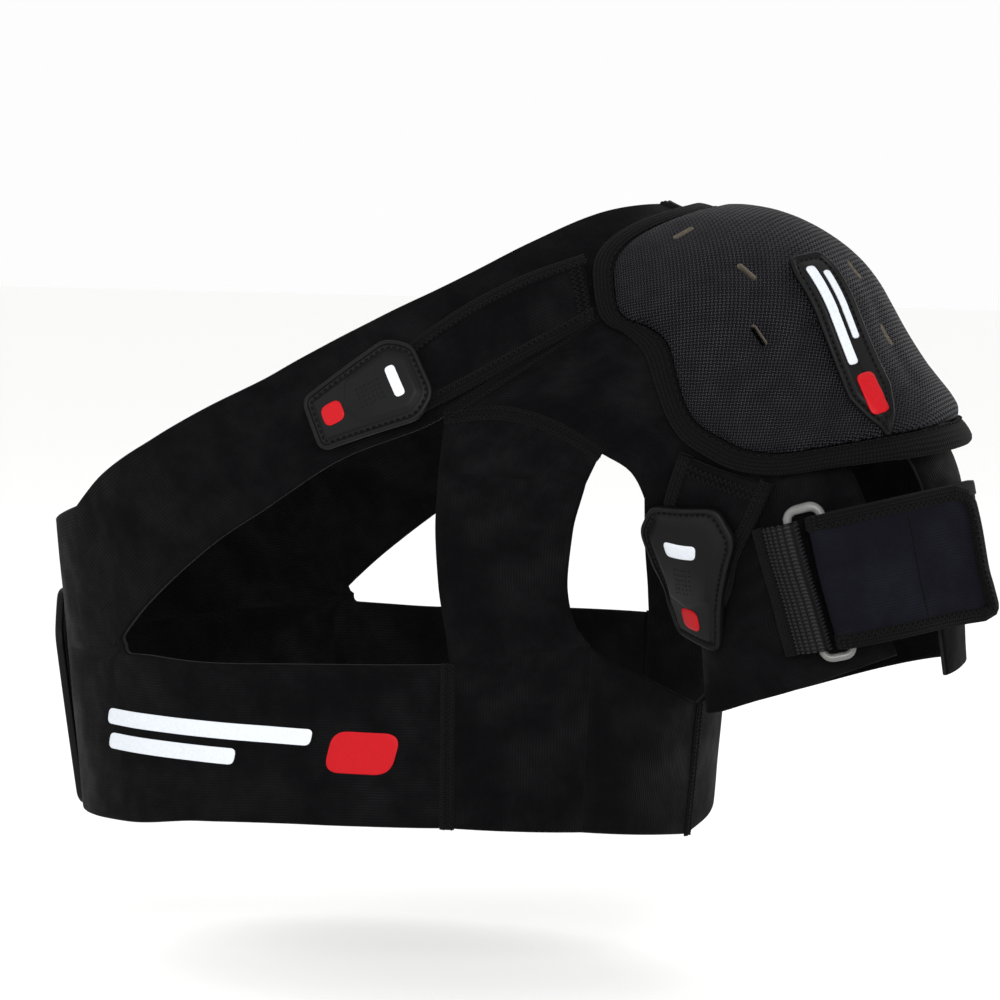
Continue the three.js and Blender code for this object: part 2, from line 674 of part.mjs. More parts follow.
// The half sleeve: over the shoulder, round the arm, and open in a slit on the outer side. Its two
// halves meet in a seam under the cap, in line with the rear edge of the slit.
function sleeveHalf(side) {
  const hem = reader(HEM, 'angle');
  const slit = reader(SLIT_EDGES, 'station');
  const upperStations = [...seamStations, 0.34, 0.42, 0.49, SLIT_TOP_STATION];
  const lowerStations = [0.62, 0.68, 0.74, ARMPIT_STATION];
  const rowsBelow = steps(3, ARMPIT_STATION, ARMPIT_STATION + 1).slice(1);
  const place = (row, angle) => {
    const below = Math.max(row - ARMPIT_STATION, 0);
    return onHoop(below > 0 ? mix(ARMPIT_STATION, hem(angle).station, below) : row, angle);
  };
  const edgeAt = (row) => sleeveEdge(Math.min(row, ARMPIT_STATION)).angle;
  const frontAt = (row) => (row > SLIT_TOP_STATION ? slit(row).front : SLIT_EDGES[0].front);
  const rearAt = (row) => (row > SLIT_TOP_STATION ? slit(row).rear : SLIT_EDGES[0].rear);
  const line = (row, from, to, cells) => steps(cells, from, to).map((angle) => place(row, angle));
  const rows = [...upperStations, ...lowerStations, ...rowsBelow];
  const rearLine = (row) => [place(row, rearAt(row)), ...line(row, SEAM_START, -edgeAt(row), 10)];
  if (side < 0) return sheet([rows.map(rearLine)]);
  return sheet([
    rows.map((row) => line(row, edgeAt(row), frontAt(row), 9)),
    upperStations.map((row) => line(row, frontAt(row), rearAt(row), 1)),
  ]);
}

// How far the cap's lower edge stands off the arm.
const capLift = (station, angle) =>
  LAYER + CAP_FLARE * smooth(station, 0.32, 0.64) * (1 - smooth(Math.abs(angle), 24, 42));

// The cap is laid out in millimetres round its centre: x runs down the arm and y round to the back.
const CAP_ROUND = 100;
const toStation = (x) => CAP_CENTRE_STATION + x / HOOP_LENGTH;
const toAngle = (y) => -THREE.MathUtils.radToDeg(y / CAP_ROUND);
const fromHoop = ({ station, angle }) =>
  new THREE.Vector2((station - CAP_CENTRE_STATION) * HOOP_LENGTH, -rad(angle) * CAP_ROUND);
function onCap(station, angle) {
  const { point, normal } = onHoop(station, angle + CAP_TURN);
  return { point: point.addScaledVector(normal, capLift(station, angle)), normal };
}
function capPlace(x, y, height) {
  const { point, normal } = onCap(toStation(x), toAngle(y));
  return point.addScaledVector(normal, height);
}

const CAP_POINTS = 52;
const capOutline = (() => {
  const front = CAP_OUTLINE.map(fromHoop);
  const back = front.slice(1, -1).reverse().map((v) => new THREE.Vector2(v.x, -v.y));
  return evenly([...front, ...back], CAP_POINTS);
})();
const middle = new THREE.Vector2(0, 0);

function capRim() {
  const inner = CAP_RIM_WIDTH;
  const ring = (inset, height) =>
    capOutline.map((spot) => {
      const v = spot.clone().setLength(spot.length() - inset);
      return capPlace(v.x, v.y, height);
    });
  const half = CAP_RIM_THICKNESS / 2;
  const rings = [
    ring(inner, 0), ring(1, 0), ring(0, half), ring(1, CAP_RIM_THICKNESS),
    ring(inner / 2, CAP_RIM_THICKNESS), ring(inner, CAP_RIM_THICKNESS - 1),
  ];
  return closedBand(rings);
}

// Rings of equal count joined into a closed band, like a bent washer.
function closedBand(rings) {
  const n = rings[0].length;
  const triangles = [];
  rings.forEach((_, r) => {
    const low = r * n;
    const high = ((r + 1) % rings.length) * n;
    for (let k = 0; k < n; k += 1) {
      const next = (k + 1) % n;
      triangles.push([low + k, low + next, high + next], [low + k, high + next, high + k]);
    }
  });
  return meshOf(rings.flat(), triangles);
}

// The pad's cross-section at its edge: distance in from the edge, and share of the full height.
const PAD_EDGE = [
  { inset: 0, rise: 0.45 },
  { inset: 3, rise: 0.7 },
  { inset: 11, rise: 0.9 },
  { inset: 22, rise: 1 },
];
const padEdge = CAP_RIM_WIDTH + SEAM_GAP;
const UNDER_SHARES = [0.17, 0.34, 0.5, 0.67, 0.84];
const CROWN_SHARES = [0.34, 0.67];

function capPad() {
  const top = CAP_THICKNESS;
  const crown = padEdge + PAD_EDGE.at(-1).inset;
  const rings = [
    { height: 0 },
    ...UNDER_SHARES.map((share) => ({ inset: padEdge, share, height: 0 })),
    { inset: padEdge, height: 0 },
    ...PAD_EDGE.map(({ inset, rise }) => ({ inset: padEdge + inset, height: rise * top })),
    ...CROWN_SHARES.map((share) => ({ inset: crown, share, height: top })).reverse(),
    { height: top },
  ];
  let pad = solidOf(puck(capOutline, rings, middle, capPlace));
  for (const slot of CAP_SLOTS) pad = pad.subtract(slotCutter(slot));
  return geometryOf(pad);
}

function slotCutter({ station, angle, lengthwise }) {
  const turn = CAP_TURN + angle;
  const spot = onHoop(station, turn);
  const halfLong = (SLOT_LENGTH - SLOT_WIDTH) / 2;
  const shape = new THREE.Shape();
  shape.absarc(halfLong, 0, SLOT_WIDTH / 2, -Math.PI / 2, Math.PI / 2);
  shape.absarc(-halfLong, 0, SLOT_WIDTH / 2, Math.PI / 2, (3 * Math.PI) / 2);
  const depth = 2 * (LAYER + CAP_THICKNESS + CAP_FLARE);
  const cutter = new THREE.ExtrudeGeometry(shape, { depth, bevelEnabled: false, curveSegments: 3 });
  cutter.deleteAttribute('normal');
  cutter.deleteAttribute('uv');
  cutter.translate(0, 0, -depth / 4);
  const down = onHoop(station + 0.05, turn).point.sub(spot.point);
  const round = onHoop(station, turn + 5).point.sub(spot.point);
  const along = (lengthwise ? down : round).projectOnPlane(spot.normal).normalize();
  const across = spot.normal.clone().cross(along);
  cutter.applyMatrix4(new THREE.Matrix4().makeBasis(along, across, spot.normal).setPosition(spot.point));
  return solidOf(cutter);
}

// The pad's height at a place of the cap's layout, straight between its rings.
function padHeight(v) {
  const aside = (spot) => Math.acos(spot.dot(v) / (spot.length() * v.length() + 1e-9));
  const nearest = capOutline.reduce((best, spot) => (aside(spot) < aside(best) ? spot : best));
  const inside = nearest.length() - padEdge - v.length();
  const k = PAD_EDGE.findIndex(({ inset }) => inset > inside);
  if (k < 1) return CAP_THICKNESS * PAD_EDGE.at(k).rise;
  const [from, to] = [PAD_EDGE[k - 1], PAD_EDGE[k]];
  const share = (inside - from.inset) / (to.inset - from.inset);
  return CAP_THICKNESS * mix(from.rise, to.rise, share);
}

function capPatch() {
  const long = PATCH_LENGTH;
  const half = PATCH_WIDTH / 2;
  const corners = [
    [0, -half * 0.75], [0.08 * long, -half], [0.72 * long, -half], [0.88 * long, -half * 0.6],
    [long, 0], [0.88 * long, half * 0.6], [0.72 * long, half], [0.08 * long, half], [0, half * 0.75],
  ].map(([x, y]) => new THREE.Vector2(x - long / 2, y));
  const outline = roundedOutline(corners, 3, 2);
  const lay = laidOn(onCap, [PATCH_STATION, PATCH_ANGLE], [PATCH_RUN, PATCH_TURN], [0.02, 2]);
  const place = (x, y, height) => {
    const [station, angle] = lay.measuresOf(x, y);
    return lay.place(x, y, padHeight(fromHoop({ station, angle })) + PATCH_GAP + height);
  };
  const rings = [
    { height: 0 },
    { share: 0.33, height: 0 },
    { share: 0.67, height: 0 },
    { height: 0 },
    { height: 0.7 * PATCH_THICKNESS },
    { inset: 1.2, height: PATCH_THICKNESS },
    { share: 0.55, height: PATCH_THICKNESS },
    { height: PATCH_THICKNESS },
  ];
  return puck(outline, rings, middle, place);
}

// A strap of the cap, from the cap's edge to its tab. The cap sits a little to the front, so the
// straps at the back are longer.
function capStrap(rows, side, cells) {
  const edges = reader(rows, 'along');
  const lines = steps(cells).map((along) => {
    const row = edges(along);
    const shift = side > 0 ? 0 : 2 * CAP_TURN * (1 - along);
    return steps(4).map((share) => {
      const angle = mix(row.nearAngle, row.farAngle, share) - shift;
      return hoopSpot(side)(mix(row.nearStation, row.farStation, share), angle);
    });
  });
  return sheet([lines], { lift: LAYER, thickness: STRAP_NEOPRENE });
}

// A moulded rubber tab: a long six-sided plate with a bevelled rim, widest near its sewn end.
function tabOutline(length, width) {
  const half = width / 2;
  const corners = [
    [0, -0.6 * half], [0.2 * length, -half], [0.5 * length, -0.87 * half], [0.96 * length, -0.66 * half],
    [length, -0.5 * half], [length, 0.5 * half],
    [0.96 * length, 0.66 * half], [0.5 * length, 0.87 * half], [0.2 * length, half], [0, 0.6 * half],
  ].map(([x, y]) => new THREE.Vector2(x - length / 2, y));
  return roundedOutline(corners, 5, 2);
}

const TAB_SHARES = [0.33, 0.67, 1];

function tab(outline, thickness, place) {
  const rings = [
    { height: 0 },
    ...TAB_SHARES.map((share) => ({ share, height: 0 })),
    { height: 0.45 * thickness },
    { inset: TAB_BEVEL, height: 0.9 * thickness },
    { inset: TAB_BEVEL, share: 0.6, height: thickness },
    { height: thickness },
  ];
  return puck(outline, rings, middle, place);
}

function shoulderTab(side, { station, angle, aheadStation, aheadAngle }) {
  const { place } = laidOn(hoopSpot(side), [station, angle], [aheadStation, aheadAngle], [0.02, 2]);
  const outline = tabOutline(TAB_LENGTH, TAB_WIDTH);
  return tab(outline, TAB_THICKNESS, (x, y, height) => place(x, y, OVER_STRAP + height));
}

// The big tab that closes the harness at the wearer's right side, on the end of the belt.
const onSide = laidOn(onChest, [SIDE_TAB_TURN, bandDrop(SIDE_TAB_DROP)], [0, 1], [2, 4]).place;

function sideTab() {
  const outline = tabOutline(SIDE_TAB_HEIGHT, SIDE_TAB_WIDTH);
  const lift = LAYER + BELT_END_THICKNESS + LAYER_GAP;
  return tab(outline, SIDE_TAB_THICKNESS, (x, y, height) => onSide(x, y, lift + height));
}

function beltEnd() {
  const outline = tabOutline(SIDE_TAB_HEIGHT + BELT_END_MARGIN, SIDE_TAB_WIDTH + BELT_END_MARGIN);
  const rings = [
    { height: 0 },
    ...TAB_SHARES.map((share) => ({ share, height: 0 })),
    ...TAB_SHARES.map((share) => ({ share, height: BELT_END_THICKNESS })).reverse(),
    { height: BELT_END_THICKNESS },
  ];
  return puck(outline, rings, middle, (x, y, height) => onSide(x, y, LAYER + height));
}

// Loop, webbing and arm strap share a layout in millimetres round the loop's middle: along the arm,
// round the arm to the front, and height over the skin.
const ARM_ROUND = 66;
function armPlace(along, round, height) {
  const spot = onArm(along, LOOP_ANGLE + THREE.MathUtils.radToDeg(round / ARM_ROUND));
  return spot.point.addScaledVector(spot.normal, height);
}

const barOffset = LOOP_WIDTH / 2 - LOOP_BAR_RADIUS;
const barClear = LOOP_BAR_RADIUS + LAYER_GAP;
const barHeight = LAYER + ARM_STRAP + barClear;

function armLoop() {
  const sides = 8;
  const long = LOOP_LENGTH / 2 - LOOP_BAR_RADIUS;
  const corners = [[-long, -barOffset], [long, -barOffset], [long, barOffset], [-long, barOffset]];
  const line = roundedOutline(corners.map(([x, y]) => new THREE.Vector2(x, y)), LOOP_CORNER, 3);
  const rings = steps(sides).slice(0, sides).map((turn) => {
    const angle = 2 * Math.PI * turn;
    return line.map((spot, i) => {
      const ahead = line[(i + 1) % line.length].clone().sub(line.at(i - 1)).normalize();
      const out = LOOP_BAR_RADIUS * Math.cos(angle);
      const height = barHeight - LOOP_BAR_RADIUS * Math.sin(angle);
      return armPlace(spot.x + ahead.y * out, spot.y - ahead.x * out, height);
    });
  });
  return closedBand(rings);
}

// A ribbon along a path round the arm, seen in section. Each spot of the path has its place round the
// arm, its height, and how far its other face leans over from straight up, in degrees.
function ribbon(path, width, thickness) {
  const cells = 4;
  const lines = path.map(({ round, height, lean = 0, slant = 0, rise = () => 0 }) => {
    const aside = Math.sin(rad(lean)) * thickness;
    const up = Math.cos(rad(lean)) * thickness;
    return steps(cells, -width / 2, width / 2).map((along) => {
      const at = round - slant * along;
      const base = height + rise(at);
      return { inner: armPlace(along, at, base), outer: armPlace(along, at + aside, base + up) };
    });
  });
  const spots = lines.flat();
  const n = spots.length;
  const faces = [];
  for (let i = 0; i + 1 < lines.length; i += 1) {
    for (let j = 0; j < cells; j += 1) {
      const a = i * (cells + 1) + j;
      faces.push([a, a + cells + 1, a + cells + 2, a + 1]);
    }
  }
  return meshOf([...spots.map((v) => v.inner), ...spots.map((v) => v.outer)], shellOf(faces, n));
}

// A half turn of a ribbon round one bar of the loop, from its outer layer to its inner one.
function turnRound(bar, way) {
  return steps(8, 0, 180).map((lean) => ({
    round: bar + way * barClear * Math.sin(rad(lean)),
    height: barHeight + barClear * Math.cos(rad(lean)),
    lean: way * lean,
  }));
}

const roundOf = (angle) => rad(angle - LOOP_ANGLE) * ARM_ROUND;
const barTop = barHeight + barClear;

function webbing() {
  const start = roundOf(WEBBING_ANGLE);
  const path = [
    { round: start, height: LAYER },
    { round: mix(start, barOffset, 0.35), height: mix(LAYER, barTop, 0.35) },
    { round: mix(start, barOffset, 0.7), height: mix(LAYER, barTop, 0.8) },
    ...turnRound(barOffset, -1),
  ];
  return ribbon(path.reverse(), WEBBING_WIDTH, WEBBING);
}

function armStrap() {
  const bar = -barOffset;
  const end = roundOf(STRAP_END_ANGLE);
  const anchor = roundOf(STRAP_ANCHOR_ANGLE);
  const low = LAYER + ARM_STRAP + STRAP_END_RISE;
  const flat = roundOf(STRAP_FLAT_ANGLE);
  const rise = (round) => (ARM_ROUND + low) * (1 / Math.cos(Math.max((flat - round) / ARM_ROUND, 0)) - 1);
  const outer = steps(9).slice(0, -1).map((share) => ({
    round: mix(end, bar, share),
    height: mix(low, barTop, smooth(share, 0.2, 0.9)),
    slant: STRAP_END_SLANT * (1 - smooth(share, 0, 0.9)),
    rise,
  }));
  const inner = steps(13).slice(1).map((share) => ({
    round: mix(bar, anchor, share),
    height: LAYER + ARM_STRAP,
    lean: 180,
  }));
  return ribbon([...outer, ...turnRound(bar, 1), ...inner], ARM_STRAP_WIDTH, ARM_STRAP);
}

// The finish of each material, from the colours of the real thing.
const neoprene = { color: '#101011', roughness: 0.92 };
const binding = { color: '#141413', roughness: 0.95 };
const nylon = { color: '#1b1b1d', roughness: 0.62 };
const rubber = { color: '#1d1d1e', roughness: 0.5 };
const navy = { color: '#14141c', roughness: 0.9 };
const elastic = { color: '#191919', roughness: 0.85 };
const acetal = { color: '#8b8b88', roughness: 0.4 };

const brace = new THREE.Group();
const add = (name, geometry, finish) => {
  const material = new THREE.MeshStandardMaterial({ ...finish, metalness: 0 });
  const mesh = new THREE.Mesh(geometry, material);
  mesh.name = name;
  brace.add(mesh);
};

for (const [side, place] of [[1, 'front'], [-1, 'rear']]) {
  add(`harness_${place}`, harness(side), neoprene);
  add(`side_panel_${place}`, panel(side), neoprene);
  add(`sleeve_${place}`, sleeveHalf(side), neoprene);
  add(`cap_strap_upper_${place}`, capStrap(UPPER_STRAP, side, 12), neoprene);
  add(`cap_strap_lower_${place}`, capStrap(LOWER_STRAP, side, 8), neoprene);
  add(`tab_upper_${place}`, shoulderTab(side, UPPER_TAB), rubber);
  add(`tab_lower_${place}`, shoulderTab(side, LOWER_TAB), rubber);
}
add('cap_rim', capRim(), binding);
add('cap_pad', capPad(), nylon);
add('cap_patch', capPatch(), rubber);
add('belt_end', beltEnd(), neoprene);
add('tab_side', sideTab(), rubber);
add('arm_webbing', webbing(), elastic);
add('arm_loop', armLoop(), acetal);
add('arm_strap', armStrap(), navy);

// The origin is the top of the shoulder.
const seat = skinAlong(bodyForm, armTop, at(0, 0, 1)).point;
brace.position.copy(seat.negate());

export default brace;
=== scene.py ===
import math
from types import SimpleNamespace

import bpy
import numpy as np
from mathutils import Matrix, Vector


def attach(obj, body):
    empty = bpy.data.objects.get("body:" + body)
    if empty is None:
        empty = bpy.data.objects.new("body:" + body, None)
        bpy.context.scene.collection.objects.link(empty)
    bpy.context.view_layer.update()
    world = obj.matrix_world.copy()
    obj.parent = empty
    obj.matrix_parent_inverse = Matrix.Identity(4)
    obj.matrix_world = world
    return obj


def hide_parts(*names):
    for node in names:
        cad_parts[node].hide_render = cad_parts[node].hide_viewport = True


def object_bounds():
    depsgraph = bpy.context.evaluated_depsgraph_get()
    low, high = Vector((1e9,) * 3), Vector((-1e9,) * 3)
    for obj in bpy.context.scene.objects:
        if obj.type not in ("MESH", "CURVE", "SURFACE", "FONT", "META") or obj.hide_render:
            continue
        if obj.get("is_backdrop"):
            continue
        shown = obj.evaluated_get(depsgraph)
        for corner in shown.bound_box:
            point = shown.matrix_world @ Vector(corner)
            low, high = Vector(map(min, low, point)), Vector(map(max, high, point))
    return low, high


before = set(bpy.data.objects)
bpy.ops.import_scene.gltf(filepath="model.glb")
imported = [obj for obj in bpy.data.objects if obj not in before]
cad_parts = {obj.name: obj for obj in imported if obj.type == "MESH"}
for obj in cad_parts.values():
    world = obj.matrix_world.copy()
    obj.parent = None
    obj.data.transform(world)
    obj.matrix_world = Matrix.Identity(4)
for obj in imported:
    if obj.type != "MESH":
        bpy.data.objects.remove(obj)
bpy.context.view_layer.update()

# Lengths are in millimetres: X outwards along the shoulder, -Y to the front, Z up. The form is the
# one that the brace lies on, in the same sizes as the solids.
MM = 0.001
CHEST_BREADTH = 324
CHEST_DEPTH = 240
CHEST_TAPER = 0.09
CHEST_SQUARENESS = 2.35
CHEST_CENTRE = -4
CHEST_BACK = 4
RIB_BEND_DROP = 150
RIB_TOP = 10
RIB_ROUNDNESS = 2.4
NECK_START = np.array([50.0, 14.0, -20.0])
NECK_RADIUS = 50
YOKE_END = np.array([162.0, 6.0, -68.0])
YOKE_RADIUS = 52
ARM_TOP = np.array([178.0, 6.0, -68.0])
ARM_BEND = np.array([214.0, 9.0, -128.0])
ARM_END = np.array([222.0, 16.0, -290.0])
ARM_TOP_RADIUS = 52
ARM_BEND_RADIUS = 57
ARM_END_RADIUS = 56
YOKE_BLEND = 50
ARM_BLEND = 40
ARM_BEND_BLEND = 8
ARMPIT_DROP = 190
ARM_START = 0.5
ARM_ALONE = 0.8

BAND_DROP = 283
HOOP_START = np.array([84.0, 6.0, -78.0])
HOOP_RUN = np.array([127.0, 6.0, -132.0])
HOOP_TILT_TOP = 39
HOOP_TILT_HEM = 25
HOOP_LENGTH = math.hypot(HOOP_RUN[0], HOOP_RUN[2])
NEOPRENE = 3
SEAM_GAP = 0.8
LAYER_GAP = 0.8
LAYER = NEOPRENE + LAYER_GAP
OVER_STRAP = 2 * LAYER
CAP_RIM_WIDTH = 9
CAP_THICKNESS = 10
CAP_FLARE = 7
CAP_TURN = 4
CAP_ROUND = 100
CAP_CENTRE_STATION = 0.26
SLOT_LENGTH = 11
SLOT_WIDTH = 3
PATCH_LENGTH = 90
PATCH_WIDTH = 20
PATCH_THICKNESS = 2.2
TAB_LENGTH = 62
TAB_WIDTH = 44
TAB_THICKNESS = 4.6
SIDE_TAB_HEIGHT = 106
SIDE_TAB_WIDTH = 60
SIDE_TAB_THICKNESS = 5
BELT_END_THICKNESS = 2.2
BELT_END_MARGIN = 4
WEBBING = 2.2
WEBBING_WIDTH = 58
ARM_STRAP = 4.2
ARM_STRAP_WIDTH = 57
ARM_STRAP_TILT = math.radians(14)
ARM_STRAP_SHARE = 0.19
ARM_ROUND = 66
LOOP_LENGTH = 69
LOOP_WIDTH = 17.5
LOOP_BAR_RADIUS = 1.8
LOOP_CORNER = 5
LOOP_ANGLE = 71
WEBBING_ANGLE = 93
STRAP_ANCHOR_ANGLE = -82
STRAP_FLAT_ANGLE = 30
STRAP_END_ANGLE = 7
STRAP_END_SLANT = 0.22
STRAP_END_RISE = 3

CELL = 2.4          # across one face of the cloth
THREAD = 0.36       # radius of the sewing thread, a little more than the real one so that it shows
BINDING_WIDTH = 5.5
BINDING_PROUD = 0.55


def table(columns, *rows):
    return dict(zip(columns.split(), np.array(rows, float).T))


# The shoulder strap's two edges as hoop stations, from the top of the shoulder to the corner of
# the window.
STRAP_EDGES = table(
    "angle upper lower",
    (0, -0.17, 0), (22, -0.215, 0), (45, -0.24, 0), (72, -0.268, 0), (95, -0.315, 0),
    (117, -0.388, -0.083), (128, -0.455, -0.11), (138, -0.53, -0.148), (148, -0.608, -0.165),
    (154, -0.635, -0.15),
)
# The chest band's edges, as shares of the band's drop, round the front from the side seam.
BAND_EDGES = table(
    "turn upper middle lower",
    (-90, 0.545, 0.72, 0.995), (-41, 0.52, 0.695, 0.985), (-20, 0.4, 0.7, 0.965),
    (10, 0.4, 0.69, 0.953), (38, 0.4, 0.682, 0.948),
)
# The side panel's two long edges, from the seam at its top to the band.
PANEL_EDGES = table(
    "row window_turn window_drop hole_turn hole_drop",
    (1, 36, 0.378, 60.5, 0.4), (2, 35.3, 0.466, 58.4, 0.474), (3, 35.9, 0.558, 57.8, 0.55),
    (4, 37.4, 0.64, 59, 0.614), (5, 38, 0.682, 62, 0.655),
)
WING_TOP = table("turn drop", (62, 0.655), (66, 0.682), (73, 0.712), (81, 0.745), (90, 0.775))
# The sleeve's front edge: the seam with the side panel, then the arm hole's edge to the armpit.
SLEEVE_EDGE = table(
    "station angle",
    (0, 95), (0.07, 85), (0.16, 78), (0.27, 73), (0.34, 69.5), (0.43, 74), (0.52, 86), (0.6, 104),
    (0.68, 127), (0.75, 153), (0.8, 180),
)
SEAM_END_STATION = 0.27
ARMPIT_STATION = 0.8
SLIT_TOP_STATION = 0.56
SLIT_EDGES = table("station front rear", (0.56, 24.5, 12.5), (0.8, 28.6, 12), (1.02, 33.5, 12))
HEM = table(
    "angle station",
    (-180, 0.93), (-136, 0.965), (-90, 1.0), (-40, 1.05), (12, 1.09), (33, 1.007), (54, 1.002),
    (75, 0.995), (100, 0.979), (136, 0.962), (180, 0.93),
)
# The cap's outline over its front half, as hoop stations and angles from the cap's own middle line.
CAP_OUTLINE = table(
    "station angle",
    (-0.112, 0), (-0.118, 8), (-0.128, 18), (-0.123, 27.5), (-0.092, 35), (-0.011, 42),
    (0.037, 43.2), (0.081, 41.3), (0.145, 41), (0.223, 44), (0.29, 46), (0.345, 46), (0.402, 43.6),
    (0.464, 40), (0.529, 33.6), (0.586, 23.6), (0.615, 16), (0.632, 8), (0.637, 0),
)
CAP_SLOTS = table(
    "station angle lengthwise",
    (-0.008, 16, 0), (0.137, 17, 1), (0.25, 23, 1), (0.212, -3, 1), (0.356, -0.5, 1),
)
PATCH_STATION = 0.37
PATCH_ANGLE = 10.5
PATCH_RUN = 0.42
PATCH_TURN = 6.5
# The cap's straps: the places of both edges of each.
UPPER_STRAP = table(
    "along near_station near_angle far_station far_angle",
    (0, -0.126, 38.5, 0.012, 48.8), (0.3, -0.168, 59, -0.003, 66), (0.6, -0.187, 80, -0.02, 87),
    (0.85, -0.19, 97, -0.06, 104), (1, -0.195, 107, -0.1, 111),
)
LOWER_STRAP = table(
    "along near_station near_angle far_station far_angle",
    (0, 0.366, 52, 0.538, 39.6), (0.3, 0.402, 58.5, 0.592, 47.5), (0.55, 0.44, 66, 0.643, 57.5),
    (0.8, 0.52, 77, 0.705, 68), (1, 0.61, 87, 0.74, 79),
)
UPPER_TAB = SimpleNamespace(centre=(-0.142, 102), ahead=(-0.018, 6))
LOWER_TAB = SimpleNamespace(centre=(0.625, 79), ahead=(0.06, 8))
SIDE_TAB_TURN = -84
SIDE_TAB_DROP = 0.82

# The form, as a signed distance that is nearly true close to the skin.


def lerp(a, b, share):
    return a + (b - a) * share


def smooth(value, low, high):
    share = np.clip((value - low) / (high - low), 0, 1)
    return share * share * (3 - 2 * share)


def unit(v):
    return v / np.maximum(np.linalg.norm(v, axis=-1, keepdims=True), 1e-12)


def smooth_union(a, b, blend):
    near = np.maximum(blend - np.abs(a - b), 0) / blend
    return np.minimum(a, b) - near * near * blend / 4


def limb(p, start, end, start_radius, end_radius):
    run = end - start
    away = p - start
    share = np.clip(away @ run / (run @ run), 0, 1)
    distance = np.linalg.norm(away - share[..., None] * run, axis=-1)
    return distance - lerp(start_radius, end_radius, share)


def rib_cage(p):
    below = (p[..., 2] + RIB_BEND_DROP) / RIB_BEND_DROP
    half_breadth = CHEST_BREADTH / 2 * (1 + CHEST_TAPER * below)
    half_depth = CHEST_DEPTH / 2 * (1 + CHEST_TAPER / 2 * below)
    across = np.abs((p[..., 0] - CHEST_CENTRE) / half_breadth) ** CHEST_SQUARENESS
    through = np.abs((p[..., 1] - CHEST_BACK) / half_depth) ** CHEST_SQUARENESS
    section = (across + through) ** (1 / CHEST_SQUARENESS)
    rise = np.maximum(p[..., 2] + RIB_BEND_DROP, 0) / (RIB_BEND_DROP + RIB_TOP)
    size = (section ** RIB_ROUNDNESS + rise ** RIB_ROUNDNESS) ** (1 / RIB_ROUNDNESS)
    return (size - 1) * CHEST_DEPTH / 2


def torso_form(p):
    yoke = limb(p, NECK_START, YOKE_END, NECK_RADIUS, YOKE_RADIUS)
    return smooth_union(rib_cage(p), yoke, YOKE_BLEND)


def arm_form(p):
    deltoid = limb(p, ARM_TOP, ARM_BEND, ARM_TOP_RADIUS, ARM_BEND_RADIUS)
    upper_arm = limb(p, ARM_BEND, ARM_END, ARM_BEND_RADIUS, ARM_END_RADIUS)
    return smooth_union(deltoid, upper_arm, ARM_BEND_BLEND)


def body_form(p):
    return smooth_union(torso_form(p), arm_form(p), ARM_BLEND)


def chest_form(p):
    apart = smooth(-p[..., 2], ARMPIT_DROP - 15, ARMPIT_DROP + 15)
    return lerp(body_form(p), torso_form(p), apart)


def hoop_tilt(station):
    return np.radians(lerp(HOOP_TILT_TOP, HOOP_TILT_HEM, station))


FORK = (ARM_START + ARM_ALONE) / 2
FORK_AXIS = np.array([math.sin(hoop_tilt(FORK)), 0, -math.cos(hoop_tilt(FORK))])
FORK_RUN = HOOP_RUN * (1, 0, 1) @ FORK_AXIS


def sleeve_form(p):
    station = FORK + (p - HOOP_START - HOOP_RUN * FORK) @ FORK_AXIS / FORK_RUN
    return lerp(body_form(p), arm_form(p), smooth(station, ARM_START, ARM_ALONE))


class Skin:
    """Points on a surface, with the way out from it at each."""

    def __init__(self, point, out):
        self.point, self.out = point, out

    def __getitem__(self, places):
        return Skin(self.point[places], self.out[places])

    def raised(self, height):
        return self.point + np.asarray(height, float)[..., None] * self.out


def end_to_end(*lines):
    return Skin(
        np.concatenate([line.point for line in lines]), np.concatenate([line.out for line in lines])
    )


PROBE = 0.5
FAR = 420
TRACE_STEPS = 90
TRACE_CARE = 0.8
SETTLE_STEPS = 12


def out_of(form, p):
    beside = [form(p + step) - form(p - step) for step in np.eye(3) * PROBE]
    return unit(np.stack(beside, -1))


def skin_along(form, start, direction):
    """Where a form is last met on the way out from inner points."""
    ray = unit(direction)
    reach = np.full(ray.shape[:-1], float(FAR))
    for _ in range(TRACE_STEPS):
        reach = reach - TRACE_CARE * form(start + reach[..., None] * ray)
    point = start + reach[..., None] * ray
    return Skin(point, out_of(form, point))


def settle(form, point):
    """Points drawn on to a form's skin from close by."""
    for _ in range(SETTLE_STEPS):
        point = point - TRACE_CARE * form(point)[..., None] * out_of(form, point)
    return Skin(point, out_of(form, point))


SEAT = skin_along(body_form, ARM_TOP, np.array([0.0, 0.0, 1.0])).point


def on_chest(turn, drop):
    turn, drop = np.broadcast_arrays(np.radians(turn), np.asarray(drop, float))
    start = np.stack([0 * turn + CHEST_CENTRE, 0 * turn + CHEST_BACK, -drop], -1)
    return skin_along(chest_form, start, np.stack([np.sin(turn), -np.cos(turn), 0 * turn], -1))


def on_hoop(station, angle):
    station, angle = np.broadcast_arrays(np.asarray(station, float), np.radians(angle))
    tilt = hoop_tilt(station)
    ray = np.stack([np.cos(angle) * np.cos(tilt), -np.sin(angle), np.cos(angle) * np.sin(tilt)], -1)
    return skin_along(sleeve_form, HOOP_START + station[..., None] * HOOP_RUN, ray)


STRAP_CENTRE = lerp(ARM_BEND, ARM_END, ARM_STRAP_SHARE)
STRAP_RUN = np.array([math.sin(ARM_STRAP_TILT), 0, -math.cos(ARM_STRAP_TILT)])
STRAP_OUTWARD = np.array([-STRAP_RUN[2], 0, STRAP_RUN[0]])


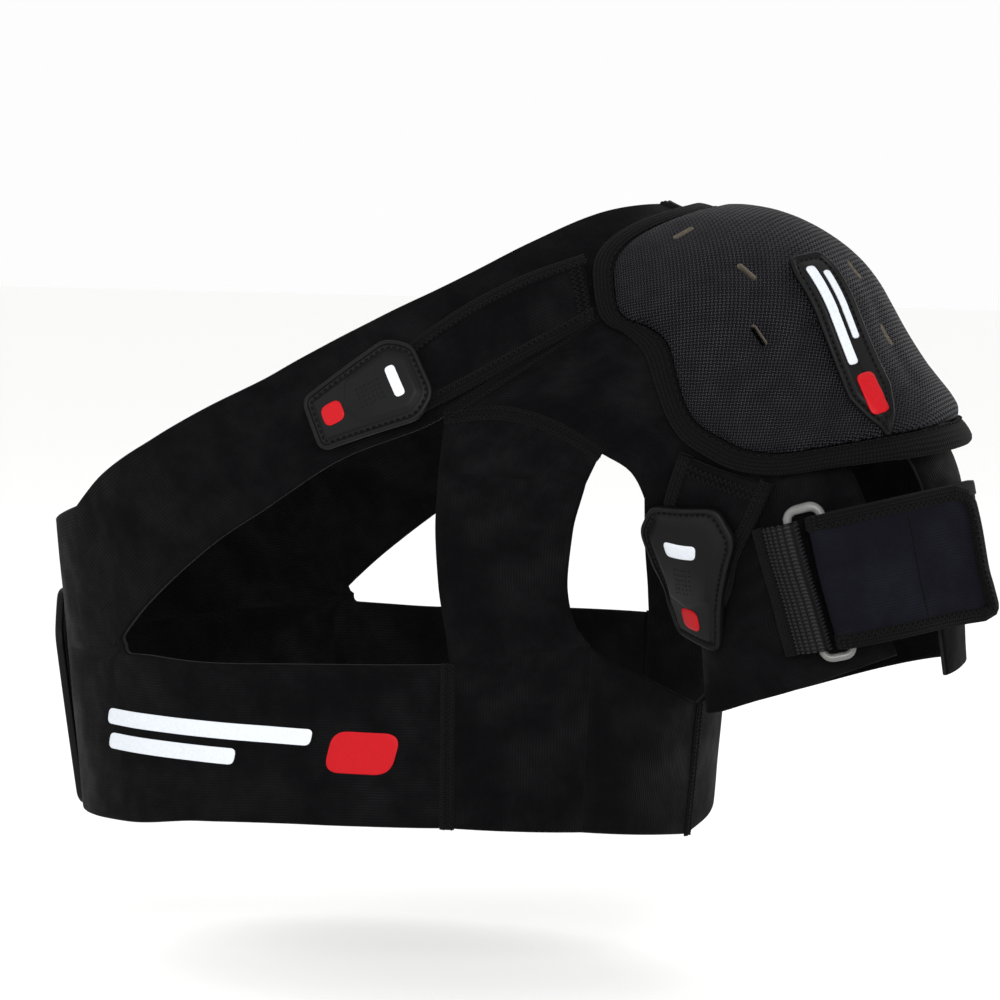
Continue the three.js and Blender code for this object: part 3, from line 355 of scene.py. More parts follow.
def on_arm(along, angle):
    along, angle = np.broadcast_arrays(np.asarray(along, float), np.radians(angle))
    ray = np.cos(angle)[..., None] * STRAP_OUTWARD - np.sin(angle)[..., None] * np.array([0, 1, 0])
    return skin_along(sleeve_form, STRAP_CENTRE + along[..., None] * STRAP_RUN, ray)


def read(rows, key, place):
    """A table's columns at any places of its key column, smooth and with no overshoot."""
    x = rows[key]
    i = np.clip(np.searchsorted(x, place) - 1, 0, len(x) - 2)
    span = x[i + 1] - x[i]
    t = np.clip((place - x[i]) / span, 0, 1)
    found = SimpleNamespace()
    for name, y in rows.items():
        secant = np.diff(y) / np.diff(x)
        before, after = np.append(secant[0], secant), np.append(secant, secant[-1])
        both = before * after
        slope = np.where(both > 0, 2 * both / np.where(both > 0, before + after, 1), 0)
        value = (2 * t**3 - 3 * t**2 + 1) * y[i] + (t**3 - 2 * t**2 + t) * span * slope[i]
        value = value + (3 * t**2 - 2 * t**3) * y[i + 1] + (t**3 - t**2) * span * slope[i + 1]
        setattr(found, name, value)
    return found


def spread(start, end, length):
    """Even shares of a way of about this length, one cell apart."""
    return np.linspace(start, end, max(round(length / CELL), 2) + 1)


# Meshes.


def lengths_along(points):
    steps = np.linalg.norm(np.diff(points, axis=0), axis=-1)
    return np.concatenate([np.zeros((1,) + steps.shape[1:]), np.cumsum(steps, 0)])


def cut_map(points):
    """The flat place of each point of a grid, in millimetres across and along the cloth."""
    across = lengths_along(np.swapaxes(points, 0, 1)).mean(1)
    along = lengths_along(points).mean(1)
    return np.stack(np.meshgrid(across, along), -1)


def piece(name, points, faces, materials, maps=None, finish=None):
    """A mesh of points in millimetres, at its place in the frame."""
    mesh = bpy.data.meshes.new(name)
    mesh.from_pydata(((points - SEAT) * MM).tolist(), [], [list(map(int, face)) for face in faces])
    for material in materials if isinstance(materials, (list, tuple)) else [materials]:
        mesh.materials.append(material)
    if finish is not None:
        mesh.polygons.foreach_set("material_index", np.asarray(finish, np.int32))
    if maps is not None:
        corners = np.zeros(len(mesh.loops), np.int32)
        mesh.loops.foreach_get("vertex_index", corners)
        uv = maps if len(maps) == len(corners) else maps[corners]
        mesh.uv_layers.new(name="cut").uv.foreach_set("vector", uv.astype(np.float32).ravel())
    mesh.polygons.foreach_set("use_smooth", np.ones(len(mesh.polygons), bool))
    mesh.update()
    thing = bpy.data.objects.new(name, mesh)
    bpy.context.scene.collection.objects.link(thing)
    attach(thing, "root")
    return thing


def quads_of(rows, columns, first=0, closed=False):
    ids = first + np.arange(rows * columns).reshape(rows, columns)
    if closed:
        ids = np.concatenate([ids, ids[:, :1]], 1)
    corners = [ids[:-1, :-1], ids[:-1, 1:], ids[1:, 1:], ids[1:, :-1]]
    return np.stack(corners, -1).reshape(-1, 4)


def hoop_faces(rows, columns):
    """The faces of a bar bent into a closed hoop: each row is one ring round the bar."""
    ids = np.arange(columns)
    last, after = (rows - 1) * columns, (ids + 1) % columns
    lap = np.stack([last + ids, last + after, after, ids], -1)
    return [*quads_of(rows, columns, closed=True), *lap]


def domed_faces(rows, columns):
    """The faces of closed rings between one point at the start and one at the end."""
    ids = np.arange(columns)
    after = (ids + 1) % columns
    end = 1 + rows * columns
    start_fan = [[0, 1 + b, 1 + a] for a, b in zip(ids, after)]
    end_fan = [[end - columns + a, end - columns + b, end] for a, b in zip(ids, after)]
    return start_fan + list(quads_of(rows, columns, 1, closed=True)) + end_fan


WELDS_PER_MM = 50
MITRE_LIMIT = 0.3
EDGE_ROUND = 0.8
SIDE_ROUND = 0.1
SIDE_LOW, SIDE_HIGH = 0.24, 0.76    # where the cut edge's flat side lies, as shares of thickness


def sheet(name, grids, materials, lift=0.0, thickness=NEOPRENE, swell=None, face=None):
    """A sheet of cloth with rounded cut edges, made of welded grids of skin. Its face can have a
    relief, with a height for each point."""
    point = np.concatenate([grid.point.reshape(-1, 3) for grid in grids])
    out = np.concatenate([grid.out.reshape(-1, 3) for grid in grids])
    flat = np.concatenate([cut_map(grid.point).reshape(-1, 2) for grid in grids])
    quads, first = [], 0
    for grid in grids:
        rows, columns = grid.point.shape[:2]
        found = quads_of(rows, columns, first)
        a, b, c = (point[found[len(found) // 2, k]] for k in range(3))
        outward = np.cross(b - a, c - a) @ out[found[len(found) // 2, 0]] > 0
        quads.append(found if outward else found[:, ::-1])
        first += rows * columns
    quads = np.concatenate(quads)
    flat_corners = flat[quads]
    _, kept, same = np.unique(
        np.round(point * WELDS_PER_MM), axis=0, return_index=True, return_inverse=True
    )
    point, out, flat, quads = point[kept], out[kept], flat[kept], same.ravel()[quads]
    count = len(point)
    ends = np.stack([quads, np.roll(quads, -1, 1)], -1).reshape(-1, 2)
    ends = ends[ends[:, 0] != ends[:, 1]]
    code, back = ends[:, 0] * count + ends[:, 1], ends[:, 1] * count + ends[:, 0]
    border = ends[~np.isin(code, back)]
    inward = np.zeros((count, 3))
    turned = np.cross(out[border[:, 0]], unit(point[border[:, 1]] - point[border[:, 0]]))
    np.add.at(inward, border[:, 0], turned / 2)
    np.add.at(inward, border[:, 1], turned / 2)
    inward /= np.maximum((inward**2).sum(-1, keepdims=True), MITRE_LIMIT)
    rise = lift + (0 if swell is None else swell(point))
    rims = np.unique(border)
    place = np.full(count, -1)
    place[rims] = np.arange(len(rims))

    def layer(at, share, back_by):
        height = (rise[at] if np.ndim(rise) else rise) + share * thickness
        moved = (SEAM_GAP / 2 + back_by) * inward[at]
        return point[at] + np.asarray(height)[..., None] * out[at] + moved

    everywhere = np.arange(count)
    outer = layer(everywhere, 1, EDGE_ROUND)
    if face is not None:
        outer = outer + face.ravel()[kept][:, None] * out
    points = np.concatenate([
        layer(everywhere, 0, EDGE_ROUND), outer,
        layer(rims, SIDE_LOW, SIDE_ROUND), layer(rims, SIDE_HIGH, SIDE_ROUND),
    ])
    low, high = 2 * count + place, 2 * count + len(rims) + place
    a, b = border.T
    walls = [
        np.stack([a, b, low[b], low[a]], -1),
        np.stack([low[a], low[b], high[b], high[a]], -1),
        np.stack([high[a], high[b], b + count, a + count], -1),
    ]
    faces, finish, maps = [], [], []
    for group, way in ((quads + count, 1), (quads, -1)):
        for corners, places in zip(group[:, ::way], flat_corners[:, ::way]):
            keep = corners != np.roll(corners, -1)
            faces.append(corners[keep])
            maps.append(places[keep])
            finish.append(0)
    flat_of = np.concatenate([flat, flat, flat[rims], flat[rims]])
    for group, shade in zip(walls, (0, 1, 0)):
        faces.extend(group)
        maps.extend(flat_of[group])
        finish.extend([shade] * len(group))
    return piece(name, points, faces, materials, np.concatenate(maps), finish)


def wrap(name, line, inward, section, material):
    """A tape laid along a line: its section is a closed ring of (in, up) places."""
    section = np.array(section, float)
    points = (
        line.point[:, None]
        + inward[:, None] * section[None, :, :1]
        + line.out[:, None] * section[None, :, 1:]
    )
    n, m = points.shape[:2]
    maps = np.stack(np.meshgrid(lengths_along(section), lengths_along(points)[:, 0]), -1)
    faces = [*quads_of(n, m, closed=True), np.arange(m)[::-1], (n - 1) * m + np.arange(m)]
    thing = piece(name, points.reshape(-1, 3), faces, material, maps.reshape(-1, 2))
    right_way_out(thing)
    return thing


def right_way_out(thing):
    """Turns all faces over if the closed mesh is inside out."""
    mesh = thing.data
    mesh.calc_loop_triangles()
    co = np.array([v.co for v in mesh.vertices])
    a, b, c = co[np.array([t.vertices for t in mesh.loop_triangles])].transpose(1, 0, 2)
    if (a * np.cross(b, c)).sum() < 0:
        mesh.flip_normals()


def resample(line, step):
    """The same line with even steps of about this length."""
    far = lengths_along(line.point)
    count = max(round(far[-1] / step), 2)
    at = np.linspace(0, far[-1], count + 1)
    point, out = (
        np.stack([np.interp(at, far, column) for column in values.T], -1)
        for values in (line.point, line.out)
    )
    return Skin(point, unit(out))


STITCH_RISE = table("share rise", (0, -1.2), (0.2, 0.5), (0.5, 0.9), (0.8, 0.5), (1, -1.2))
THREAD_SIDES = 5


def stitches(name, start, end, out, material, radius):
    """Short threads that lie on the cloth and dip into it at both ends."""
    share = STITCH_RISE["share"][None, :, None]
    rise = STITCH_RISE["rise"][None, :, None] * radius
    middle = lerp(start[:, None], end[:, None], share) + rise * out[:, None]
    ahead = unit(end - start)[:, None]
    beside = np.cross(ahead, out[:, None])
    turns = np.linspace(0, 2 * np.pi, THREAD_SIDES, endpoint=False)[None, None, :, None]
    ring = np.cos(turns) * beside[:, :, None] + np.sin(turns) * out[:, None, None]
    points = middle[:, :, None] + radius * ring
    count, rows = points.shape[:2]
    ids = np.arange(THREAD_SIDES)
    one = [*quads_of(rows, THREAD_SIDES, closed=True), ids[::-1], (rows - 1) * THREAD_SIDES + ids]
    faces = [face + i * rows * THREAD_SIDES for i in range(count) for face in one]
    thing = piece(name, points.reshape(-1, 3), faces, material)
    right_way_out(thing)
    return thing


def beside_line(line):
    ahead = np.gradient(line.point, axis=0)
    return unit(np.cross(line.out, ahead))


def zigzag(line, lift, width, pitch, shift=0.0):
    line = resample(line, pitch / 2)
    swing = np.where(np.arange(len(line.point)) % 2, 0.5, -0.5) * width + shift
    spot = line.raised(lift) + swing[:, None] * beside_line(line)
    return spot[:-1], spot[1:], line.out[:-1]


def running(line, lift, pitch, gap, shift=0.0):
    line = resample(line, pitch)
    spot = line.raised(lift) + shift * beside_line(line)
    ahead = unit(spot[1:] - spot[:-1]) * gap / 2
    return spot[:-1] + ahead, spot[1:] - ahead, line.out[:-1]


def sew(name, rows, material, radius=THREAD):
    start, end, out = (np.concatenate(part) for part in zip(*rows))
    return stitches(name, start, end, out, material, radius)


def rounded_outline(corners, radius, spacing):
    """A closed outline with round corners and even spacing, anticlockwise."""
    corners = np.array(corners, float)
    spots = []
    for i, corner in enumerate(corners):
        back, on = corners[i - 1] - corner, corners[(i + 1) % len(corners)] - corner
        cut = min(radius, np.linalg.norm(back) / 2.2, np.linalg.norm(on) / 2.2)
        start, end = corner + unit(back) * cut, corner + unit(on) * cut
        t = np.linspace(0, 1, 9)[:, None]
        spots.append((1 - t) ** 2 * start + 2 * t * (1 - t) * corner + t**2 * end)
    return evenly(np.concatenate(spots), spacing)


def evenly(outline, spacing):
    closed = np.concatenate([outline, outline[:1]])
    far = lengths_along(closed)
    count = round(far[-1] / spacing)
    at = np.linspace(0, far[-1], count, endpoint=False)
    return np.stack([np.interp(at, far, closed[:, k]) for k in range(2)], -1)


def laid_on(place_at, centre, ahead, nudge):
    """Lays a flat pattern on a skin: x runs ahead of the centre, y to its left, height outwards."""
    spot = place_at(*centre)
    first = (place_at(centre[0] + nudge[0], centre[1]).point - spot.point) / nudge[0]
    second = (place_at(centre[0], centre[1] + nudge[1]).point - spot.point) / nudge[1]
    along = ahead[0] * first + ahead[1] * second
    along = unit(along - along @ spot.out * spot.out)
    across = np.cross(spot.out, along)
    back = np.linalg.pinv(np.stack([first, second], -1))

    def measures(x, y):
        wanted = x[..., None] * along + y[..., None] * across
        steps = wanted @ back.T
        return centre[0] + steps[..., 0], centre[1] + steps[..., 1]

    def place(x, y, height):
        return place_at(*measures(x, y)).raised(height)

    place.measures = measures
    return place


def away_from_edge(points, outline):
    """How far points lie from an outline."""
    a, b = outline, np.roll(outline, -1, 0)
    run = b - a
    t = np.clip(((points[:, None] - a) * run).sum(-1) / (run**2).sum(-1), 0, 1)
    return np.linalg.norm(points[:, None] - a - t[..., None] * run, axis=-1).min(1)


def inward_of(outline):
    ahead = np.roll(outline, -1, 0) - np.roll(outline, 1, 0)
    return unit(np.stack([-ahead[:, 1], ahead[:, 0]], -1))


def plate(name, outline, place, section, relief, material, inner_step):
    """A moulded plate: its edge follows a section of (inset, height) and its face a relief."""
    inward = inward_of(outline)
    rings, heights = [], []
    first = outline + inward * section[0][0]
    middle = outline.mean(0)
    for share in np.linspace(0.1, 1, 7):
        rings.append(middle + (first - middle) * share)
        heights.append(np.full(len(outline), float(section[0][1])))
    for inset, height in section[1:]:
        rings.append(outline + inward * inset)
        heights.append(np.full(len(outline), float(height)))
    last = rings[-1]
    reach = np.linalg.norm(last - middle, axis=1).max()
    for share in np.linspace(1, 0, round(reach / inner_step) + 1)[1:-1]:
        ring = middle + (last - middle) * share
        rings.append(ring)
        heights.append(relief(ring, away_from_edge(ring, outline)))
    flat = np.concatenate([[middle], *rings, [middle]])
    top = relief(middle[None], away_from_edge(middle[None], outline))
    height = np.concatenate([[section[0][1]], *heights, top])
    points = place(flat[:, 0], flat[:, 1], height)
    thing = piece(name, points, domed_faces(len(rings), len(outline)), material, flat)
    right_way_out(thing)
    return thing


# Finishes.


def linear(colour):
    """An sRGB hex colour as linear red, green, blue and full cover."""
    shares = [int(colour[i : i + 2], 16) / 255 for i in (1, 3, 5)]
    return [s / 12.92 if s <= 0.04045 else ((s + 0.055) / 1.055) ** 2.4 for s in shares] + [1]


WAVE_TURN = math.pi / 10    # a wave texture's scale times its period


class Finish:
    """A material made of procedural textures, laid on the cloth as it is cut or in the piece's own
    space. Periods and depths are in millimetres. A source is a node with one of its outputs."""

    def __init__(self, name, roughness, on_cut=False, **sockets):
        self.material = bpy.data.materials.new(name)
        self.material.use_nodes = True
        self.shader = self.material.node_tree.nodes["Principled BSDF"]
        for socket, value in {"Roughness": roughness, **sockets}.items():
            self.shader.inputs[socket.replace("_", " ")].default_value = value
        self.on_cut = on_cut
        if on_cut:
            self.place = self.add("ShaderNodeUVMap", uv_map="cut"), 0
        else:
            self.place = self.add("ShaderNodeTexCoord"), "Object"

    def add(self, kind, sources=(), values=(), **options):
        """Adds a node with its options, its sockets' values and its links from other nodes."""
        node = self.material.node_tree.nodes.new(kind)
        for option, value in options.items():
            setattr(node, option, value)
        for socket, value in dict(values).items():
            node.inputs[socket].default_value = value
        for socket, source in dict(sources).items():
            self.link(source, node.inputs[socket])
        return node

    def link(self, source, socket):
        node, output = source
        self.material.node_tree.links.new(node.outputs[output], socket)

    def noise(self, period, place=None, detail=2, roughness=0.5):
        scale = 1 / period if self.on_cut else 1 / (period * MM)
        node = self.add(
            "ShaderNodeTexNoise", {"Vector": place or self.place},
            {"Scale": scale, "Detail": detail, "Roughness": roughness},
            noise_dimensions="2D" if self.on_cut else "3D",
        )
        return node, "Fac"

    def wave(self, period, way, place=None, **values):
        values = {socket.replace("_", " "): value for socket, value in values.items()}
        node = self.add(
            "ShaderNodeTexWave", {"Vector": place or self.place},
            {"Scale": WAVE_TURN / period, **values}, bands_direction=way,
        )
        return node, "Fac"

    def product(self, a, b):
        return self.add("ShaderNodeMath", {0: a, 1: b}, operation="MULTIPLY"), 0

    def ramp(self, source, low, high, to_low=0, to_high=1):
        """Takes the values from low to high to those from to_low to to_high."""
        ends = {"From Min": low, "From Max": high, "To Min": to_low, "To Max": to_high}
        return self.add("ShaderNodeMapRange", {"Value": source}, ends), 0

    def colour(self, source, low, high):
        ends = {6: linear(low), 7: linear(high)}
        mix = self.add("ShaderNodeMix", {0: source}, ends, data_type="RGBA")
        self.link((mix, 2), self.shader.inputs["Base Color"])

    def roughness(self, source):
        self.link(source, self.shader.inputs["Roughness"])

    def relief(self, source, depth):
        values = {"Distance": depth * MM, "Strength": 1.0}
        bump = self.add("ShaderNodeBump", {"Height": source}, values)
        self.link((bump, 0), self.shader.inputs["Normal"])


def jersey_faced_neoprene(name, low, high, sheen):
    """Foam rubber with a nylon jersey laminated on it: matte, with fine wales, faint lint and a
    soft sheen where it is stretched. Worn patches are smoother, and are painted lighter in the
    colour as a painted sheen. Real wales are 0.5 mm apart; these are wider, so that they show."""
    finish = Finish(
        name, 0.8, on_cut=True, IOR=1.5, Sheen_Weight=sheen, Sheen_Roughness=0.45,
        Sheen_Tint=linear("#8d8d96"), Specular_IOR_Level=0.06,
    )
    wales = finish.wave(1.3, "X", Distortion=0.6, Detail=1, Detail_Scale=3)
    knit = finish.product(wales, finish.noise(0.8, detail=3))
    # Worn patches: they are smoother, which is real wear, and painted lighter, which is a painted
    # sheen.
    wear_and_sheen_noise = finish.noise(26, detail=5, roughness=0.65)
    wear_and_sheen_tone = finish.ramp(wear_and_sheen_noise, 0.4, 0.72, 0.12, 1)
    finish.colour(finish.product(knit, wear_and_sheen_tone), low, high)
    finish.roughness(finish.ramp(wear_and_sheen_noise, 0.3, 0.7, 0.9, 0.66))
    finish.relief(knit, 0.22)
    return finish.material


def knitted_tape(name, low, high, rib):
    """Stretch binding tape, knitted in ribs that run along it."""
    finish = Finish(
        name, 0.86, on_cut=True, IOR=1.5, Sheen_Weight=0.01, Sheen_Roughness=0.5,
        Specular_IOR_Level=0.08,
    )
    ribs = finish.wave(rib, "X", Distortion=1.2, Detail=2, Detail_Scale=2)
    rows = finish.wave(1.1, "Y", Distortion=1.5, Detail=2, Detail_Scale=2)
    knit = finish.product(ribs, rows)
    finish.colour(knit, low, high)
    finish.relief(knit, 0.35)
    return finish.material


def ballistic_nylon(name):
    """Thick nylon yarn in a plain weave: each yarn's crown catches the light, and this is painted
    into the colour as a painted highlight, with painted shade in the dips between the yarns. Its
    yarns are about 1 mm apart."""
    yarn = 1.1
    finish = Finish(name, 0.56, on_cut=True, IOR=1.53, Specular_IOR_Level=0.08)
    aslant = {"Rotation": (0, 0, math.radians(38))}
    turned = finish.add("ShaderNodeMapping", {"Vector": finish.place}, aslant), 0
    crossing = finish.add("ShaderNodeTexChecker", {"Vector": turned}, {"Scale": 1 / yarn})
    yarns = [finish.wave(yarn, way, turned) for way in ("X", "Y")]
    weave = finish.add(
        "ShaderNodeMix", {0: (crossing, "Fac"), 2: yarns[0], 3: yarns[1]}, data_type="FLOAT"
    ), 0
    faded = finish.ramp(finish.noise(7, turned, detail=3), 0.3, 0.7, 0.6, 1)
    # Painted highlight on each yarn's crown, and painted shade between the yarns.
    crown = finish.ramp(weave, 0.35, 0.95)
    finish.colour(finish.product(crown, faded), "#000000", "#2b2b31")
    finish.relief(weave, 1.2)
    return finish.material


def moulded_rubber(name):
    """Soft moulded rubber with a fine spark-eroded texture: a broad, low gloss."""
    finish = Finish(name, 0.5, IOR=1.5, Specular_IOR_Level=0.12)
    grain, handled = finish.noise(0.7, detail=3), finish.noise(14, detail=4)
    finish.colour(handled, "#030304", "#0a0a0b")
    finish.roughness(finish.ramp(handled, 0.3, 0.7, 0.42, 0.58))
    finish.relief(grain, 0.06)
    return finish.material


KNIT_COLUMN = 3.3
KNIT_COURSE = 1.7
KNIT_SLANT = 0.4
KNIT_RELIEF = 0.55


def elastic_knit(name):
    """Warp-knitted elastic: columns of shiny chain stitches with elastic between them. Its colour
    follows the relief of its mesh and has the same measures: the shine on the stitches' crests is a
    painted highlight, and the dark between stitches and between columns is painted shade."""
    finish = Finish(name, 0.6, on_cut=True, IOR=1.5, Specular_IOR_Level=0.1)
    place = finish.add("ShaderNodeSeparateXYZ", {"Vector": finish.place})
    lean = finish.add(
        "ShaderNodeMath", {0: (place, "Y")}, {1: KNIT_COLUMN / 2}, operation="PINGPONG"
    ), 0
    slanted = finish.add(
        "ShaderNodeMath", {0: lean, 2: (place, "X")},
        {1: 2 * KNIT_SLANT * KNIT_COURSE / KNIT_COLUMN}, operation="MULTIPLY_ADD",
    )
    moved = finish.add("ShaderNodeCombineXYZ", {"X": (slanted, 0)}), 0
    chain = finish.wave(KNIT_COURSE, "X", moved)
    inside = finish.ramp(lean, 0.1 * KNIT_COLUMN, 0.3 * KNIT_COLUMN)
    # Painted highlight on the chain stitches' crests, and painted shade in the hollows between
    # them.
    finish.colour(finish.product(chain, inside), "#010101", "#1e1e20")
    return finish.material


def moulded_acetal(name):
    """Injection-moulded acetal in grey: smooth, waxy, with faint scuffs."""
    finish = Finish(name, 0.36, IOR=1.48)
    scuffs = finish.noise(3, detail=6, roughness=0.7)
    finish.colour(scuffs, "#484947", "#5e5f5c")
    finish.roughness(finish.ramp(scuffs, 0.35, 0.7, 0.3, 0.46))
    finish.relief(scuffs, 0.03)
    return finish.material


def grained(name, low, high, period, depth, roughness, detail=2, **sockets):
    """A dull material of one grain: it carries both the colour and the relief."""
    finish = Finish(name, roughness, **sockets)
    grain = finish.noise(period, detail=detail)
    finish.colour(grain, low, high)
    finish.relief(grain, depth)
    return finish.material


def cut_foam(name):
    """The bare edge of closed-cell foam rubber: a little greyer than the jersey, with fine
    cells."""
    return grained(name, "#0b0b0c", "#19191a", 0.5, 0.1, 0.9, IOR=1.5, Specular_IOR_Level=0.15)


def spun_yarn(name, low, high):
    """Twisted, textured polyester yarn: matte black, with fine plies."""
    return grained(
        name, low, high, 0.6, 0.12, 0.75, IOR=1.5, Sheen_Weight=0.01, Sheen_Roughness=0.4,
        Specular_IOR_Level=0.08,
    )


def transfer_print(name, low, high):
    """Heat-pressed vinyl print: an even colour with a faint orange-peel surface."""
    return grained(name, low, high, 1.4, 0.03, 0.5, IOR=1.5, Specular_IOR_Level=0.15)


def open_foam(name):
    """Cream polyurethane foam, seen in the vent slots: dull, with open cells."""
    return grained(name, "#211f1c", "#6b6255", 0.8, 0.2, 0.95, detail=3, IOR=1.4)


JERSEY = jersey_faced_neoprene("jersey_faced_neoprene", "#010102", "#0e0e10", 0.008)
NAVY = jersey_faced_neoprene("navy_jersey_neoprene", "#07070d", "#13131f", 0.03)
FOAM_EDGE = cut_foam("cut_foam_edge")
TAPE = knitted_tape("knitted_binding_tape", "#000000", "#0c0c0c", 1.6)
SEAM_TAPE = knitted_tape("seam_cover_stitch", "#010101", "#0f0f10", 1.1)
MESH = ballistic_nylon("ballistic_nylon")
RUBBER = moulded_rubber("moulded_rubber")
ELASTIC = elastic_knit("elastic_webbing")
YARN = spun_yarn("polyester_thread", "#020202", "#0c0c0c")
ACETAL = moulded_acetal("grey_acetal")
WHITE = transfer_print("white_print", "#b4b8be", "#c6cacf")
RED = transfer_print("red_print", "#93000c", "#a8020f")
SLOT_FOAM = open_foam("cream_foam")
CLOTH = [JERSEY, FOAM_EDGE]


# The chest harness, the side panels and the sleeve. A side of 1 is the front and -1 the back.


def chest_side(side, turn, drop):
    return on_chest(turn if side > 0 else 180 - np.asarray(turn, float), drop)


def hoop_side(side, station, angle):
    return on_hoop(station, side * np.asarray(angle, float))


def between(first, last, length):
    """Lines of skin between two lines."""
    share = spread(0, 1, length)[:, None, None]
    filled = settle(chest_form, lerp(first.point[None], last.point[None], share))
    for i, line in ((0, first), (-1, last)):
        filled.point[i], filled.out[i] = line.point, line.out
    return filled


def drawn_to(grid, spot, reach=26):
    """Draws a grid's last corner to a spot, and what is near it along."""
    pull = spot.point - grid.point[-1, 0]
    near = 1 - np.linalg.norm(grid.point - grid.point[-1, 0], axis=-1) / reach
    moved = settle(chest_form, grid.point + smooth(near, 0, 1)[..., None] * pull)
    moved.point[-1, 0], moved.out[-1, 0] = spot.point, spot.out
    return moved


CORNER_OPEN = math.radians(34)
CORNER_ROUND = 4.5


def corner_rounded(grid, corner, ahead):
    """Rounds the window's sharp corner: what lies round it is pushed into the window."""
    away = grid.point - corner.point
    along = away @ ahead
    across = np.abs(away @ np.cross(corner.out, ahead))
    wedge = across / math.tan(CORNER_OPEN / 2)
    inner = CORNER_ROUND * math.cos(CORNER_OPEN / 2)
    rounded = CORNER_ROUND / math.sin(CORNER_OPEN / 2) - np.sqrt(
        np.maximum(CORNER_ROUND**2 - np.minimum(across, inner) ** 2, 0)
    )
    push = np.maximum(rounded - wedge, 0) * (across < inner) * smooth(along - wedge, -30, 0)
    return settle(chest_form, grid.point + push[..., None] * ahead)


STRAP_ACROSS = spread(0, 1, length=62)
BAND_DOWN = spread(0, 1, length=77)
SIDE_TURN = BAND_EDGES["turn"][0]
CORNER_TURN = BAND_EDGES["turn"][1]
SEAM_TURN = BAND_EDGES["turn"][-1]
CORNER_LOOK = 12    # cells from the window's corner to where its edges' directions are read


def harness(side):
    """The strap over the shoulder, the band, and the side where they meet."""
    angle = spread(0, STRAP_EDGES["angle"][-1], length=430)
    edges = read(STRAP_EDGES, "angle", angle)
    strap = hoop_side(
        side, lerp(edges.upper[:, None], edges.lower[:, None], STRAP_ACROSS), angle[:, None]
    )
    turn = spread(SEAM_TURN, CORNER_TURN, length=210)
    edges = read(BAND_EDGES, "turn", turn)
    drop = BAND_DROP * lerp(edges.middle[:, None], edges.lower[:, None], BAND_DOWN)
    band = drawn_to(chest_side(side, turn[:, None], drop), strap[-1, -1])
    edge = read(BAND_EDGES, "turn", SIDE_TURN)
    side_seam = chest_side(side, SIDE_TURN, BAND_DROP * lerp(edge.middle, edge.lower, BAND_DOWN))
    strap_seam = chest_side(
        side, SIDE_TURN, BAND_DROP * lerp(edge.upper, edge.middle, STRAP_ACROSS)
    )
    strap_seam.point[-1], strap_seam.out[-1] = side_seam.point[0], side_seam.out[0]
    upper = between(strap[-1], strap_seam, length=125)
    lower = between(band[-1], side_seam, length=125)
    lower.point[:, 0], lower.out[:, 0] = upper.point[:, -1], upper.out[:, -1]
    corner = strap[-1, -1]
    near = [strap.point[-CORNER_LOOK, -1], band.point[-CORNER_LOOK, 0]]
    ahead = unit(sum(unit(spot - corner.point) for spot in near))
    strap, band, upper, lower = (
        corner_rounded(part, corner, ahead) for part in (strap, band, upper, lower)
    )
    return SimpleNamespace(strap=strap, band=band, upper=upper, lower=lower)


PANEL_ACROSS = spread(0, 1, length=62)
WING_SAG = 0.012    # how far the wing's hem hangs below the band's, as a share of the band's drop


def panel(side):
    """The side panel: rows run across it from the window to the arm hole."""
    station = SEAM_END_STATION * PANEL_ACROSS
    top = hoop_side(side, station, read(SLEEVE_EDGE, "station", station).angle)
    edges = read(PANEL_EDGES, "row", spread(1, PANEL_EDGES["row"][-1], length=85)[:, None])
    middle = chest_side(
        side,
        lerp(edges.window_turn, edges.hole_turn, PANEL_ACROSS),
        BAND_DROP * lerp(edges.window_drop, edges.hole_drop, PANEL_ACROSS),
    )
    upper = between(top, middle[0], length=36)
    hem = read(BAND_EDGES, "turn", SEAM_TURN).lower
    wing_hem = hem + WING_SAG
    last = read(PANEL_EDGES, "row", PANEL_EDGES["row"][-1])
    down = BAND_DOWN[:, None]
    window_side, hole_side = lerp(last.window_drop, hem, down), lerp(last.hole_drop, wing_hem, down)
    drop = lerp(window_side, hole_side, PANEL_ACROSS)
    lower = chest_side(
        side, lerp(last.window_turn, last.hole_turn, PANEL_ACROSS), BAND_DROP * drop
    )
    turn = spread(WING_TOP["turn"][0], WING_TOP["turn"][-1], length=75)
    share = (turn - turn[0]) / (turn[-1] - turn[0])
    wing_low = lerp(wing_hem, BAND_EDGES["lower"][0], share)
    wing_top = read(WING_TOP, "turn", turn).drop
    wing = chest_side(side, turn, BAND_DROP * lerp(wing_top, wing_low, down))
    return SimpleNamespace(upper=upper, middle=middle, lower=lower, wing=wing)


HEM_DOWN = spread(0, 1, length=40)


def sleeve(side):
    """Half of the sleeve: the front one also spans the slit's top."""
    rows = np.concatenate([
        spread(0, SLIT_TOP_STATION, length=103),
        spread(SLIT_TOP_STATION, ARMPIT_STATION, length=44)[1:],
        ARMPIT_STATION + HEM_DOWN[1:],
    ])[:, None]
    open_rows = rows[rows[:, 0] <= SLIT_TOP_STATION]
    edge = read(SLEEVE_EDGE, "station", np.minimum(rows, ARMPIT_STATION)).angle
    slit = read(SLIT_EDGES, "station", rows)

    def at(rows, angle):
        rows, angle = np.broadcast_arrays(rows, angle)
        below = np.maximum(rows - ARMPIT_STATION, 0)
        hem = lerp(ARMPIT_STATION, read(HEM, "angle", angle).station, below)
        return on_hoop(np.where(below > 0, hem, rows), angle)

    across = spread(0, 1, length=150)
    if side < 0:
        return [at(rows, lerp(slit.rear, -edge, across))]
    bridge = lerp(SLIT_EDGES["front"][0], SLIT_EDGES["rear"][0], spread(0, 1, length=12))
    return [at(rows, lerp(edge, slit.front, across)), at(open_rows, bridge)]


